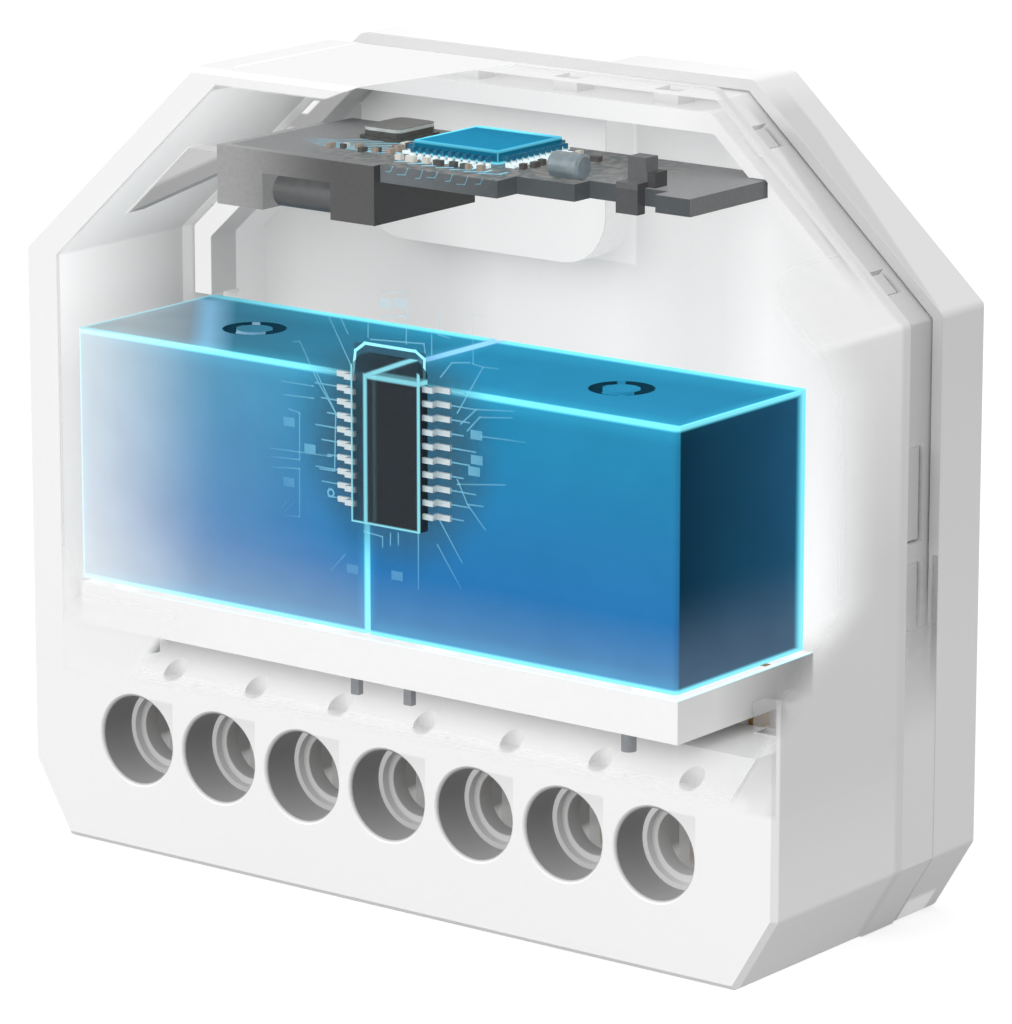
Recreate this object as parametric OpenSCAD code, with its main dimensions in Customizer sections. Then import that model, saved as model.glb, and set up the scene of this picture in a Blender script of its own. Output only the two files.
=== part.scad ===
// Two-channel smart relay module for a wall box: a snapped two-part case, a row of rising-cage
// screw terminals, two clapper relays on a power board, and a radio board under the case's roof.
// X runs along the terminal row, Y from the front face to the back, Z up from the flat underside.

/* [Case] */
// Width of the case
body_w = 43; // [42.4:0.2:46]
// Height of the case
body_h = 37.8; // [37.4:0.2:42]
// Depth of the case from its front face to its back face
body_d = 16; // [15.8:0.1:18]
// Width of each sloped upper corner
top_slope_w = 10.3; // [9.6:0.1:10.8]
// Height of each sloped upper corner
top_slope_h = 9.4; // [8.6:0.1:10]
// Width of each cut lower corner
foot_slope_w = 2.1; // [1.4:0.1:2.4]
// Height of each cut lower corner
foot_slope_h = 3.5; // [2.4:0.1:4.2]
// Thickness of the side, top and bottom walls
wall = 1.2; // [1.1:0.05:1.3]
// Thickness of the front wall above the terminals
front_wall = 1; // [0.8:0.05:1.2]
// Thickness of the back wall
back_wall = 1.2; // [1:0.05:1.4]
// Rounding of the case's long edges
edge_round = 0.5; // [0.2:0.05:0.8]
// Bevel round the front and back faces
edge_break = 0.25; // [0.1:0.05:0.4]

/* [Cover joint] */
// Depth of the rear cover's visible rim
cover_d = 3.6; // [3.2:0.1:4]
// Width of the sunk band between the front housing and the rear cover
seam_w = 2.5; // [2:0.1:2.8]
// Thickness of the front housing's tongue
tongue_t = 0.6; // [0.5:0.05:0.7]
// Length of tongue held in the rear cover's groove
tongue_grip = 0.7; // [0.5:0.05:0.9]
// Thickness of the rear cover's inner skirt
skirt_t = 1; // [0.8:0.05:1.1]
// How far the skirt stands forward of the cover's rim
skirt_reach = 1.7; // [1.5:0.05:1.9]
// Clearance between tongue, groove and skirt
joint_gap = 0.1; // [0.06:0.01:0.14]
// Length of each side snap
snap_l = 4.2; // [3:0.1:4.6]
// Width of each roof nub
nub_w = 1.1; // [0.8:0.1:1.6]
// Spacing of the roof nubs
nub_pitch = 5.65; // [5:0.05:5.9]

/* [Terminals] */
// Number of terminals
terminals = 7; // [5:1:7]
// Spacing of the terminals
pitch = 5; // [4.9:0.02:5.1]
// Diameter of the wire holes in the case
entry_d = 4.2; // [4:0.05:4.4]
// Height of the wire holes above the underside
entry_z = 5.45; // [5.4:0.05:5.8]
// Depth of the wire holes in the case
entry_wall = 2.05; // [1.9:0.05:2.3]
// Diameter of the wire guide in the terminal block
guide_d = 3; // [2.8:0.05:3.1]
// Diameter of the step round the wire guide
step_d = 3.7; // [3.5:0.05:3.8]
// Depth of that step
step_depth = 0.35; // [0.25:0.05:0.5]
// Thickness of the terminal block's front plate
plate_t = 1.2; // [1:0.05:1.4]
// Width of a clamp cage
cage_w = 3.7; // [3.5:0.05:3.8]
// Depth of a clamp cage
cage_d = 3.8; // [3.4:0.05:4]
// Thickness of a clamp cage's sides
cage_wall = 0.58; // [0.5:0.02:0.6]
// Thickness of a clamp cage's threaded floor
cage_floor = 0.65; // [0.6:0.05:0.75]
// Running clearance round a clamp cage
cage_gap = 0.1; // [0.06:0.01:0.12]
// Height of the clear space for a wire in an open cage
wire_space = 2.8; // [2.6:0.05:2.9]
// Thickness of the contact bars
bar_t = 0.4; // [0.3:0.05:0.5]
// Diameter of the terminal screws
screw_d = 2.5; // [2.3:0.05:2.6]
// Diameter of the screw heads
head_d = 3.4; // [3.2:0.05:3.5]
// Height of the screw heads
head_t = 0.75; // [0.6:0.05:0.8]
// Radial clearance of the screw heads and of the thread
screw_gap = 0.05; // [0.03:0.01:0.08]
// Diameter of the moulding holes in the terminal block's slope
vent_d = 1.15; // [0.9:0.05:1.4]

/* [Power board and relays] */
// Thickness of the power board
board_t = 2; // [1.6:0.1:2.2]
// Height of the relays' cases
relay_h = 12.05; // [11.6:0.05:12.2]
// Length of a relay
relay_l = 17.35; // [17:0.05:17.5]
// Depth of a relay
relay_d = 9.95; // [9.6:0.05:10.1]
// Wall of a relay's case
relay_wall = 0.6; // [0.5:0.05:0.7]
// Gap that lifts the relay cases off the board
relay_lift = 0.25; // [0.15:0.05:0.35]
// Gap between the relays, and from them to the case wall
relay_gap = 0.2; // [0.1:0.05:0.3]
// Thickness of a relay's base plate
base_t = 1.1; // [0.9:0.05:1.2]
// Thickness of a relay's iron parts
iron_t = 1; // [0.8:0.05:1.1]
// Diameter of a relay's iron core
core_d = 2.8; // [2.4:0.1:3]
// Diameter of a relay's winding
coil_d = 7.4; // [6.8:0.1:7.6]
// Height of a relay's winding
coil_h = 5.4; // [5:0.1:5.6]
// Pull-in gap between the armature and the core
pull_gap = 0.5; // [0.4:0.05:0.6]
// Diameter of the contact buttons
button_d = 1.8; // [1.4:0.1:2]

/* [Metering circuit] */
// Thickness of the clear flexible circuit
flex_t = 0.12; // [0.1:0.01:0.16]
// Width of the flexible circuit in front of the relays
flex_w = 12; // [10:0.2:13]
// Width of the flexible circuit's tail
tail_w = 3.4; // [2.6:0.1:4]
// Width of the metering chip's body
meter_w = 3.9; // [3.5:0.1:4.4]
// Length of the metering chip's body
meter_l = 7.8; // [7.6:0.1:8.6]
// Thickness of the metering chip's body
meter_t = 0.65; // [0.55:0.05:0.7]
// Number of leads on each side of the metering chip
meter_leads_n = 10; // [8:1:11]
// Gap between the metering chip and the front wall
meter_gap = 0.13; // [0.1:0.01:0.2]

/* [Radio board] */
// Distance from the case's roof down to the radio board
radio_drop = 4.1; // [4:0.05:4.5]
// Thickness of the radio board
radio_t = 0.8; // [0.6:0.05:1]
// Width of the board carrier
carrier_w = 9.25; // [8.8:0.05:9.6]
// Height of the board carrier from its feet to the board
carrier_h = 1.95; // [1.8:0.05:2.2]
// Side of the square processor
chip_w = 4.9; // [4.4:0.1:5.2]
// Thickness of the processor
chip_t = 0.6; // [0.5:0.05:0.8]
// Number of leads on each side of the processor
chip_leads_n = 11; // [8:1:12]

/* [Hidden] */
$fn = 48;

// The case's planes; a depth is counted from the front face
half_w = body_w / 2;
front_y = -body_d / 2;
cover_front = body_d - cover_d;
shell_d = cover_front - seam_w;
skirt_front = cover_front - skirt_reach;
tongue_inset = wall - tongue_t;
skirt_inset = wall + joint_gap;
inner_inset = skirt_inset + skirt_t;
back_inside = body_d - back_wall;
snap_depth = [shell_d + 0.95, shell_d + 1.95];
right_snaps = [13, 18.3];
left_snaps = [4.8];
slope_nubs = [-0.31, 0.31];
nub_start = -9.85;
nub_count = 4;

// Terminal row, from the screw heads in the underside up to the block's top
block_w = terminals * pitch;
chamber_front = entry_wall + plate_t;
cage_front = chamber_front + 1.25;
cage_back = cage_front + cage_d;
chamber_back = cage_back + 0.4;
screw_y = (cage_front + cage_back) / 2;
chamber_half = cage_w / 2 + cage_gap;
bar_top = entry_z - wire_space / 2 + 0.1;
bar_bottom = bar_top - bar_t;
floor_top = bar_bottom - cage_gap;
cage_bottom = floor_top - cage_floor;
spring_z = bar_top + wire_space - (cage_w / 2 - cage_wall);
head_recess = 0.3;
screw_tip = bar_bottom - cage_gap / 2;
riser_w = 0.8;
riser_shift = 1;
riser_front = chamber_back + 0.55;
riser_back = riser_front + bar_t;
slope_foot_z = spring_z + chamber_half;
slope_run = 2.15;
slope_rise = 1.65;
slope_top_z = slope_foot_z + slope_rise;
ledge_front = riser_back + 0.15;
block_back = ledge_front + 0.5;
shoulder_rise = 0.75;
notched_walls = [1, 2, 4, 6];
notch_w = 1.9;
notch_h = 0.62;
vent_place = 0.38;

// Power board and relays
board_z = slope_top_z + 0.66;
board_top = board_z + board_t;
flex_back = front_wall + meter_gap + meter_t + 0.1 + flex_t;
relay_front = flex_back + 0.03;
relay_x0 = -half_w + wall + relay_gap;
relay_x1 = relay_x0 + 2 * relay_l + relay_gap / 2;
relay_z = board_top + relay_lift;
relay_top = relay_z + relay_h;
relay_back = relay_front + relay_d;
last_riser = (terminals - 1) / 2 * pitch - riser_shift + riser_w / 2;
board_x1 = max(relay_x1, last_riser) + 0.1;
board_back = relay_back + 0.5;

// Inside a relay, from its contact end u = 0, its front v = 0 and the foot of its case w = 0
mid_v = relay_d / 2;
foot_w = base_t + iron_t;
flange_t = 0.6;
flange_d = coil_d + 0.8;
bobbin_top = foot_w + coil_h + 2 * flange_t;
pole_w = bobbin_top + 0.3;
upright_u = relay_l - 1.75;
core_u = upright_u - flange_d / 2 - 0.15;
iron_inset = 1.6;
armature_inset = 2;
armature_tip = 2.4;
armature_heel = 0.8;
armature_w = pole_w + pull_gap;
armature_t = 0.8;
arm_t = 0.3;
contact_u = 3.4;
blade_u = 1.1;
blade_t = 0.4;
blade_w = 2.4;
pull_angle = 4;
button_t = 0.6;
arm_w = armature_w + armature_t - arm_t;
button_drop = (upright_u - contact_u + button_d / 2) * sin(pull_angle);
fixed_top = arm_w - button_t - button_drop - 0.05;
contact_pin_d = 0.7;
contact_pin_u = 3.4;
coil_pin_u = relay_l - 1.5;
coil_pin_w = 0.45;
coil_pin_t = 0.35;
pin_inset = relay_wall + contact_pin_d / 2 + 0.2;
stand_l = 1.2;
stand_u = [contact_pin_u - contact_pin_d / 2 - 0.2 - stand_l, relay_l - 3.95];
pin_drop = 1.1;
vent_u = 6.7;

// Metering circuit on the relays' front faces
meter_x = relay_x0 + relay_l + 1.85;
meter_z = relay_top - 2.7;
flex_front = flex_back - flex_t;
meter_front = front_wall + meter_gap;
lead_pitch = 0.65;
lead_w = 0.26;
lead_t = 0.14;

// Radio board, its carrier and its parts
radio_top = body_h - radio_drop;
radio_z = radio_top - radio_t;
carrier_z = radio_z - carrier_h;
carrier_front = 3;
carrier_lip = 0.45;
carrier_back = skirt_front - 0.3;
carrier_x0 = -slope_half(radio_top, inner_inset) + 0.1;
carrier_x1 = carrier_x0 + carrier_w;
pocket_x0 = carrier_x0 + 2.7;
pocket_x1 = pocket_x0 + 4;
pocket_back = carrier_front + 3.3;
pocket_h = carrier_h - 0.25;
choke_d = 1.5;
choke_room = 0.4;
choke_front = carrier_front + 0.25;
radio_x1 = slope_half(radio_top, wall) - 0.8;
radio_front = carrier_front + carrier_lip;
step_x = radio_x1 - 1.9;
step_front = radio_front + 1.6;
cut_x = [3.7, 6.9];
cut_front = [radio_front + 1.45, radio_front + 2.6];
radio_back = body_d - 3.7;
pad_front = radio_back + 0.3;
pad_x1 = 2.9;
pad_bottom = radio_z - 4.7;
tab_w = 6;
tab_x = -2.5;
slot_gap = 0.05;
chip_x = -0.75;
chip_depth = (radio_front + radio_back) / 2 + 0.7;
chip_lift = 0.12;
chip_z = radio_top + chip_lift;
chip_lead_l = 0.75;
front_row = chip_depth - chip_w / 2 - chip_lead_l - 0.4;
tail_end = front_row - 0.35;

// Half the case's width at a height on the sloped corner, for a wall set in by inset
function slope_half(z, inset) =
    half_w - top_slope_w * (z - body_h + top_slope_h) / top_slope_h
    - inset * norm([top_slope_w, top_slope_h]) / top_slope_h;

// Eight-sided outline of the case in X and Z, every side set in by the same amount
function outline(inset) =
    let (foot = norm([foot_slope_w, foot_slope_h]))
    let (roof = norm([top_slope_w, top_slope_h]))
    let (x_foot = half_w - foot_slope_w - inset * (foot - foot_slope_w) / foot_slope_h)
    let (z_foot = foot_slope_h + inset * (foot - foot_slope_h) / foot_slope_w)
    let (x_side = half_w - inset)
    let (z_roof = body_h - top_slope_h - inset * (roof - top_slope_h) / top_slope_w)
    let (x_roof = half_w - top_slope_w - inset * (roof - top_slope_w) / top_slope_h)
    [
        [-x_foot, inset], [x_foot, inset], [x_side, z_foot], [x_side, z_roof],
        [x_roof, body_h - inset], [-x_roof, body_h - inset], [-x_side, z_roof], [-x_side, z_foot]
    ];

// Arc that rounds the corner b of the path a, b, c
function corner_arc(a, b, c, radius, steps) =
    let (u = (a - b) / norm(a - b))
    let (v = (c - b) / norm(c - b))
    let (half = acos(u * v) / 2)
    let (centre = b + (u + v) / norm(u + v) * radius / sin(half))
    let (from = b + u * radius / tan(half) - centre)
    let (to = b + v * radius / tan(half) - centre)
    let (start = atan2(from[1], from[0]))
    let (sweep = (atan2(to[1], to[0]) - start + 540) % 360 - 180)
    [for (i = [0:steps])
        let (turn = start + sweep * i / steps)
        centre + radius * [cos(turn), sin(turn)]];

// Closed outline with every corner rounded
function rounded(points, radius, steps = 4) =
    let (n = len(points))
    [for (i = [0:n - 1])
        each corner_arc(points[(i + n - 1) % n], points[i], points[(i + 1) % n], radius, steps)];

// Upright slot with a round arched top
function arch(half, low, spring, steps = 12) =
    concat([[-half, low], [half, low]],
           [for (i = [0:steps]) [half * cos(180 * i / steps), spring + half * sin(180 * i / steps)]]);

// Middle of terminal n, counted from 1 at the left
function terminal_x(n) = (n - (terminals + 1) / 2) * pitch;

// Carries an X and Z outline from one depth to another
module along_y(near, far) {
    translate([0, front_y + far, 0])
        rotate([90, 0, 0])
            linear_extrude(height = far - near)
                children();
}

// Carries a depth and Z outline from one X to another
module along_x(left, right) {
    translate([left, front_y, 0])
        rotate([90, 0, 90])
            linear_extrude(height = right - left)
                children();
}

// Box between two limits of X, depth and Z
module slab(x, depth, z) {
    translate([x[0], front_y + depth[0], z[0]])
        cube([x[1] - x[0], depth[1] - depth[0], z[1] - z[0]]);
}

// Round bore along Y, or a cone where the two diameters differ
module bore_y(x, z, near, far, d_near, d_far) {
    translate([x, front_y + near, z])
        rotate([-90, 0, 0])
            cylinder(h = far - near, d1 = d_near, d2 = d_far);
}

// The case's outline as a prism with rounded long edges
module case_prism(inset, near, far) {
    along_y(near, far)
        polygon(rounded(outline(inset), max(edge_round - inset, 0.2)));
}

// Everything outside a bevel along one edge of the case's front (side 1) or back (side -1) face
module edge_bevels(face_y, side) {
    points = outline(0);
    reach = body_w + body_h;
    for (i = [0:7]) {
        p = points[i];
        q = points[(i + 1) % 8];
        facing = atan2(p[0] - q[0], q[1] - p[1]);
        translate([p[0], face_y, p[1]])
            rotate([0, -facing, 0])
                translate([-edge_break, 0, 0])
                    rotate([0, 0, -45 * side])
                        translate([0, -reach, -reach])
                            cube([reach, 2 * reach, 2 * reach]);
    }
}

// Places of the snaps and nubs, each grown by gap; used for the bumps and for their windows
module snap_blocks(inset_in, inset_out, gap) {
    depth = [snap_depth[0] - gap, snap_depth[1] + gap];
    for (z = right_snaps)
        slab([half_w - inset_in, half_w - inset_out], depth,
             [z - gap, z + snap_l + gap]);
    for (z = left_snaps)
        slab([-half_w + inset_out, -half_w + inset_in], depth,
             [z - gap, z + 0.6 * snap_l + gap]);
    for (side = [0, 1])
        for (along = slope_nubs)
            mirror([side, 0, 0])
                translate([half_w - top_slope_w / 2, 0, body_h - top_slope_h / 2])
                    rotate([0, -atan2(top_slope_w, top_slope_h), 0])
                        translate([0, 0, along * norm([top_slope_w, top_slope_h])])
                            slab([-inset_in, -inset_out], depth, [-nub_w / 2 - gap, nub_w / 2 + gap]);
    for (i = [0:nub_count - 1])
        slab([nub_start + i * nub_pitch - gap, nub_start + i * nub_pitch + nub_w + gap], depth,
             [body_h - inset_in, body_h - inset_out]);
}

// Front housing: moulded shell with the wire holes, the driver holes and the snap tongue
module front_housing() {
    color("whitesmoke")
        difference() {
            union() {
                difference() {
                    union() {
                        case_prism(0, 0, shell_d);
                        case_prism(tongue_inset, edge_break, cover_front + tongue_grip);
                    }
                    case_prism(wall, front_wall, body_d);
                    edge_bevels(front_y, 1);
                }
                intersection() {
                    case_prism(wall - 0.2, front_wall - 0.2, entry_wall);
                    slab([-half_w, half_w], [0, entry_wall], [0, slope_foot_z - 0.2]);
                }
                carrier_rib();
            }
            for (n = [1:terminals]) {
                bore_y(terminal_x(n), entry_z, -1, entry_wall + 1, entry_d, entry_d);
                bore_y(terminal_x(n), entry_z, -0.01, 0.15, entry_d + 0.32, entry_d);
                translate([terminal_x(n), front_y + screw_y, -1])
                    cylinder(h = wall + 2, d = head_d + 2 * screw_gap);
            }
            snap_blocks(wall + 0.3, 0, 0.12);
        }
}

// Gusset on the left sloped wall that carries the end of the board carrier
module carrier_rib() {
    inner = -slope_half(radio_top - 0.5, wall - 0.2);
    along_y(carrier_front + 0.6, carrier_front + 1.6)
        polygon([
            [carrier_x0, radio_top - 0.5], [inner, radio_top - 0.5],
            [-slope_half(carrier_z - 1.6, wall - 0.2), carrier_z - 1.6], [carrier_x0, carrier_z + 1.5]
        ]);
}

// Rear cover: back wall, rim with a groove for the tongue, inner skirt, snaps and board pad
module rear_cover() {
    color("white")
        difference() {
            union() {
                difference() {
                    union() {
                        case_prism(0, cover_front, body_d);
                        case_prism(skirt_inset, skirt_front, cover_front + 1);
                    }
                    case_prism(inner_inset, 0, back_inside);
                    edge_bevels(-front_y, -1);
                    difference() {
                        case_prism(tongue_inset - joint_gap, 0, cover_front + tongue_grip + joint_gap);
                        case_prism(skirt_inset, -1, body_d);
                    }
                }
                snap_blocks(skirt_inset + 0.4, tongue_inset + 0.15, 0);
                board_pad();
            }
            slab([-half_w + wall, -half_w + inner_inset + 0.3], [0, board_back + 0.3],
                 [board_z - 0.4, relay_top + 0.3]);
            slab([-block_w / 2 - 0.2, block_w / 2 + 0.2], [0, block_back + 0.2], [wall, board_z]);
            slab([0, radio_x1 + 0.15], [0, radio_back + 0.15], [radio_z - slot_gap, radio_top + slot_gap]);
            slab([tab_x - tab_w / 2 - slot_gap, tab_x + tab_w / 2 + slot_gap], [0, pad_front + 0.85],
                 [radio_z - slot_gap, radio_top + slot_gap]);
        }
}

// Raised pad on the rear cover that holds the radio board's back edge
module board_pad() {
    low = pad_bottom;
    high = body_h - inner_inset + 0.3;
    left = -pad_x1 - 8.5;
    along_y(pad_front, back_inside + 0.2)
        intersection() {
            polygon(rounded([[left, low], [pad_x1, low], [pad_x1, high + 4], [left, high + 4]], 2.4, 6));
            polygon(outline(inner_inset - 0.3));
        }
}

// Terminal block: chambers for the clamp cages, wire guides, a sloped top and the board ledge
module terminal_block() {
    half = block_w / 2;
    color("gainsboro")
        difference() {
            union() {
                along_x(-half, half)
                    polygon([
                        [entry_wall, wall], [block_back, wall], [block_back, board_z],
                        [ledge_front, board_z], [ledge_front, slope_top_z],
                        [entry_wall + slope_run, slope_top_z], [entry_wall, slope_foot_z]
                    ]);
                slab([board_x1 + 0.15, half], [ledge_front - 2.2, block_back],
                     [slope_top_z - 0.5, board_z + shoulder_rise]);
            }
            for (n = [1:terminals])
                terminal_cuts(terminal_x(n));
            for (n = notched_walls)
                along_y(entry_wall - 1, entry_wall + 0.5)
                    translate([terminal_x(n) + pitch / 2, slope_foot_z])
                        polygon([
                            [-notch_w / 4, -notch_h], [notch_w / 4, -notch_h], [notch_w / 2, 0],
                            [notch_w / 2, notch_h], [-notch_w / 2, notch_h], [-notch_w / 2, 0]
                        ]);
        }
}

// The hollows of one terminal: stepped wire guide, arched chamber, slope hole and bar slot
module terminal_cuts(x) {
    bore_y(x, entry_z, entry_wall - 1, chamber_front + 1, guide_d, guide_d);
    bore_y(x, entry_z, entry_wall - 1, entry_wall + step_depth, step_d, step_d);
    translate([x, 0, 0])
        along_y(chamber_front, chamber_back)
            polygon(arch(chamber_half, wall - 1, spring_z));
    translate([x, front_y + entry_wall + vent_place * slope_run, slope_foot_z + vent_place * slope_rise])
        cylinder(h = 2, d = vent_d, center = true);
    slab([x - riser_shift - riser_w / 2 - 0.1, x + chamber_half - 0.6],
         [chamber_back - 0.1, riser_back + 0.1], [bar_bottom - 0.1, board_z + 1]);
}

// Contact bars: one tongue in each cage, turned up into the power board
module contact_bars() {
    half = cage_w / 2 - cage_wall - 0.12;
    color("goldenrod")
        for (n = [1:terminals]) {
            x = terminal_x(n);
            slab([x - half, x + half], [cage_front + 0.5, riser_back], [bar_bottom, bar_top]);
            riser = [x - riser_shift - riser_w / 2, x - riser_shift + riser_w / 2];
            slab([riser[0], x + half], [riser_front, riser_back], [bar_bottom, bar_top]);
            slab(riser, [riser_front, riser_back], [bar_bottom, board_top]);
        }
}

// Clamp cage n: an arched sleeve whose threaded floor climbs the screw
module clamp_cage(n) {
    half = cage_w / 2;
    color("silver")
        difference() {
            translate([terminal_x(n), 0, 0])
                along_y(cage_front, cage_back)
                    difference() {
                        polygon(arch(half, cage_bottom, spring_z));
                        polygon(arch(half - cage_wall, floor_top, spring_z));
                    }
            translate([terminal_x(n), front_y + screw_y, 0])
                cylinder(h = spring_z, d = screw_d + 2 * screw_gap);
        }
}

// Terminal screw n: slotted head in the underside, tip under the contact bar
module terminal_screw(n) {
    slot_w = 0.6;
    color("lightgray")
        translate([terminal_x(n), front_y + screw_y, head_recess])
            difference() {
                union() {
                    cylinder(h = head_t, d = head_d);
                    cylinder(h = screw_tip - head_recess - 0.3, d = screw_d);
                    translate([0, 0, screw_tip - head_recess - 0.3])
                        cylinder(h = 0.3, d1 = screw_d, d2 = screw_d - 0.6);
                }
                translate([-head_d, -slot_w / 2, -1])
                    cube([2 * head_d, slot_w, 1 + 0.55 * head_t]);
            }
}

// Power board: the white board under the relays, slotted for the bars and drilled for the pins
module power_board() {
    color("white")
        difference() {
            slab([relay_x0, board_x1], [relay_front, board_back], [board_z, board_top]);
            for (n = [1:terminals]) {
                x = terminal_x(n) - riser_shift;
                slab([x - riser_w / 2 - 0.06, x + riser_w / 2 + 0.06],
                     [riser_front - 0.06, riser_back + 0.06], [board_z - 1, board_top + 1]);
            }
            for (side = [0, 1])
                relay_at(side)
                    pin_shapes(0.06, -relay_lift - board_t - 1, -relay_lift + 1);
        }
}

// Puts a relay drawn from its contact end at the left (0) or, mirrored, at the right (1)
module relay_at(side) {
    translate([side == 0 ? relay_x0 : relay_x1, front_y + relay_front, relay_z])
        mirror([side, 0, 0])
            children();
}

// The relay's four pins between two heights, grown all round by gap
module pin_shapes(gap, low, high) {
    for (v = [pin_inset, relay_d - pin_inset]) {
        translate([contact_pin_u, v, low])
            cylinder(h = high - low, d = contact_pin_d + 2 * gap);
        translate([coil_pin_u - coil_pin_w / 2 - gap, v - coil_pin_t / 2 - gap, low])
            cube([coil_pin_w + 2 * gap, coil_pin_t + 2 * gap, high - low]);
    }
}

// Relay case: deep-drawn cover, open below, with a split vent ring in its roof
module relay_case(side) {
    plan = rounded([[0, 0], [relay_l, 0], [relay_l, relay_d], [0, relay_d]], 0.25, 3);
    color("steelblue")
        relay_at(side)
            difference() {
                linear_extrude(height = relay_h)
                    polygon(plan);
                translate([relay_wall, relay_wall, -1])
                    cube([relay_l - 2 * relay_wall, relay_d - 2 * relay_wall, relay_h - relay_wall + 1]);
                translate([vent_u, mid_v, relay_h - 0.2])
                    difference() {
                        cylinder(h = 1, d = 2.9);
                        translate([0, 0, -1])
                            cylinder(h = 3, d = 1.7);
                        translate([-2, -0.25, -1])
                            cube([4, 0.5, 3]);
                    }
            }
}

// Relay base: moulded plate that closes the case from below and stands on four feet
module relay_base(side) {
    inset = relay_wall + 0.05;
    color("dimgray")
        relay_at(side)
            difference() {
                union() {
                    translate([inset, inset, 0])
                        cube([relay_l - 2 * inset, relay_d - 2 * inset, base_t]);
                    for (u = stand_u)
                        for (v = [inset, relay_d - inset - stand_l])
                            translate([u, v, -relay_lift])
                                cube([stand_l, stand_l, relay_lift + 0.1]);
                }
                pin_shapes(0.03, -1, base_t + 1);
            }
}

// Relay pins: two round contact pins and two flat coil pins, through the power board
module relay_pins(side) {
    color("silver")
        relay_at(side)
            pin_shapes(0, -relay_lift - board_t - pin_drop, base_t);
}

// Relay yoke: bent iron bracket under and beside the coil, with the riveted core
module relay_yoke(side) {
    color("slategray")
        relay_at(side) {
            translate([core_u - flange_d / 2, iron_inset, base_t])
                cube([upright_u + iron_t - core_u + flange_d / 2, relay_d - 2 * iron_inset, iron_t]);
            translate([upright_u, iron_inset, base_t])
                cube([iron_t, relay_d - 2 * iron_inset, armature_w - base_t]);
            translate([core_u, mid_v, base_t])
                cylinder(h = pole_w - base_t, d = core_d);
        }
}

// Relay bobbin: spool that the coil is wound on
module relay_bobbin(side) {
    hole_r = core_d / 2 + 0.05;
    drum_r = hole_r + 0.5;
    color("ivory")
        relay_at(side)
            translate([core_u, mid_v, foot_w])
                rotate_extrude()
                    polygon([
                        [hole_r, 0], [flange_d / 2, 0], [flange_d / 2, flange_t], [drum_r, flange_t],
                        [drum_r, flange_t + coil_h], [flange_d / 2, flange_t + coil_h],
                        [flange_d / 2, 2 * flange_t + coil_h], [hole_r, 2 * flange_t + coil_h]
                    ]);
}

// Relay coil: the copper winding between the bobbin's flanges
module relay_coil(side) {
    drum_r = core_d / 2 + 0.6;
    color("chocolate")
        relay_at(side)
            translate([core_u, mid_v, foot_w + flange_t + 0.05])
                difference() {
                    cylinder(h = coil_h - 0.1, d = coil_d);
                    translate([0, 0, -1])
                        cylinder(h = coil_h + 2, r = drum_r);
                }
}

// Relay armature: iron clapper hinged on the yoke's upright
module relay_armature(side) {
    length = upright_u + armature_heel - core_u + armature_tip;
    color("gray")
        relay_at(side)
            translate([core_u - armature_tip, armature_inset, armature_w])
                cube([length, relay_d - 2 * armature_inset, armature_t]);
}

// Contact arm: leaf on the armature's free end, with its contact button
module contact_arm(side) {
    color("peru")
        relay_at(side) {
            translate([contact_u - button_d / 2 - 0.1, mid_v - blade_w / 2, arm_w])
                cube([core_u - armature_tip - contact_u + button_d / 2 + 0.1, blade_w, arm_t]);
            translate([contact_u, mid_v, arm_w - button_t])
                cylinder(h = button_t + 0.05, d = button_d);
        }
}

// Fixed contact: blade that stands on the base, with its contact button
module fixed_contact(side) {
    shelf_w = fixed_top - button_t;
    color("peru")
        relay_at(side) {
            translate([blade_u, mid_v - blade_w / 2, base_t])
                cube([blade_t, blade_w, shelf_w - base_t]);
            translate([blade_u, mid_v - blade_w / 2, shelf_w - blade_t])
                cube([contact_u + button_d / 2 + 0.1 - blade_u, blade_w, blade_t]);
            translate([contact_u, mid_v, shelf_w - 0.05])
                cylinder(h = button_t + 0.05, d = button_d);
        }
}

// Flexible circuit: clear film on the relays' front faces, with a tail up to the radio board
module flex_circuit() {
    top = meter_z + meter_l / 2 + 3.8;
    tail_x = meter_x - tail_w / 2;
    fold_z = radio_top + 0.03;
    color("azure", 0.4) {
        slab([meter_x - flex_w / 2, meter_x + flex_w / 2], [flex_front, flex_back], [board_top, top]);
        slab([tail_x, tail_x + tail_w], [flex_front, flex_back], [top - 0.1, fold_z + flex_t]);
        slab([tail_x, tail_x + tail_w], [flex_front, tail_end], [fold_z, fold_z + flex_t]);
    }
}

// Metering chip: flat moulded body with cut upper corners
module metering_chip() {
    half = meter_w / 2;
    low = meter_z - meter_l / 2;
    high = meter_z + meter_l / 2;
    cut = 0.55;
    color("darkslategray")
        translate([meter_x, 0, 0])
            along_y(meter_front, meter_front + meter_t)
                polygon([
                    [-half, low], [half, low], [half, high - cut], [half - cut, high],
                    [-half + cut, high], [-half, high - cut]
                ]);
}

// Metering leads: gull-wing leads down both long sides of the chip
module metering_leads() {
    half = meter_w / 2;
    mid = meter_front + meter_t / 2;
    low = meter_z - meter_l / 2 + 0.75;
    color("silver")
        for (side = [-1, 1])
            for (i = [0:meter_leads_n - 1])
                translate([meter_x, front_y, low + i * lead_pitch - lead_w / 2])
                    linear_extrude(height = lead_w)
                        polygon(gull_wing(side, half, mid, flex_front, 1.3));
}

// Profile of a gull-wing lead from a body's side at height rise down to its foot at floor
function gull_wing(side, half, rise, floor, length) =
    let (down = floor > rise ? 1 : -1)
    let (knee = half + 0.35 * length)
    let (bend = down * lead_t)
    [for (p = [
        [half, rise - bend / 2], [knee + lead_t, rise - bend / 2], [knee + lead_t, floor - bend],
        [half + length, floor - bend], [half + length, floor], [knee, floor],
        [knee, rise + bend / 2], [half, rise + bend / 2]
    ]) [side * p[0], p[1]]];

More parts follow.
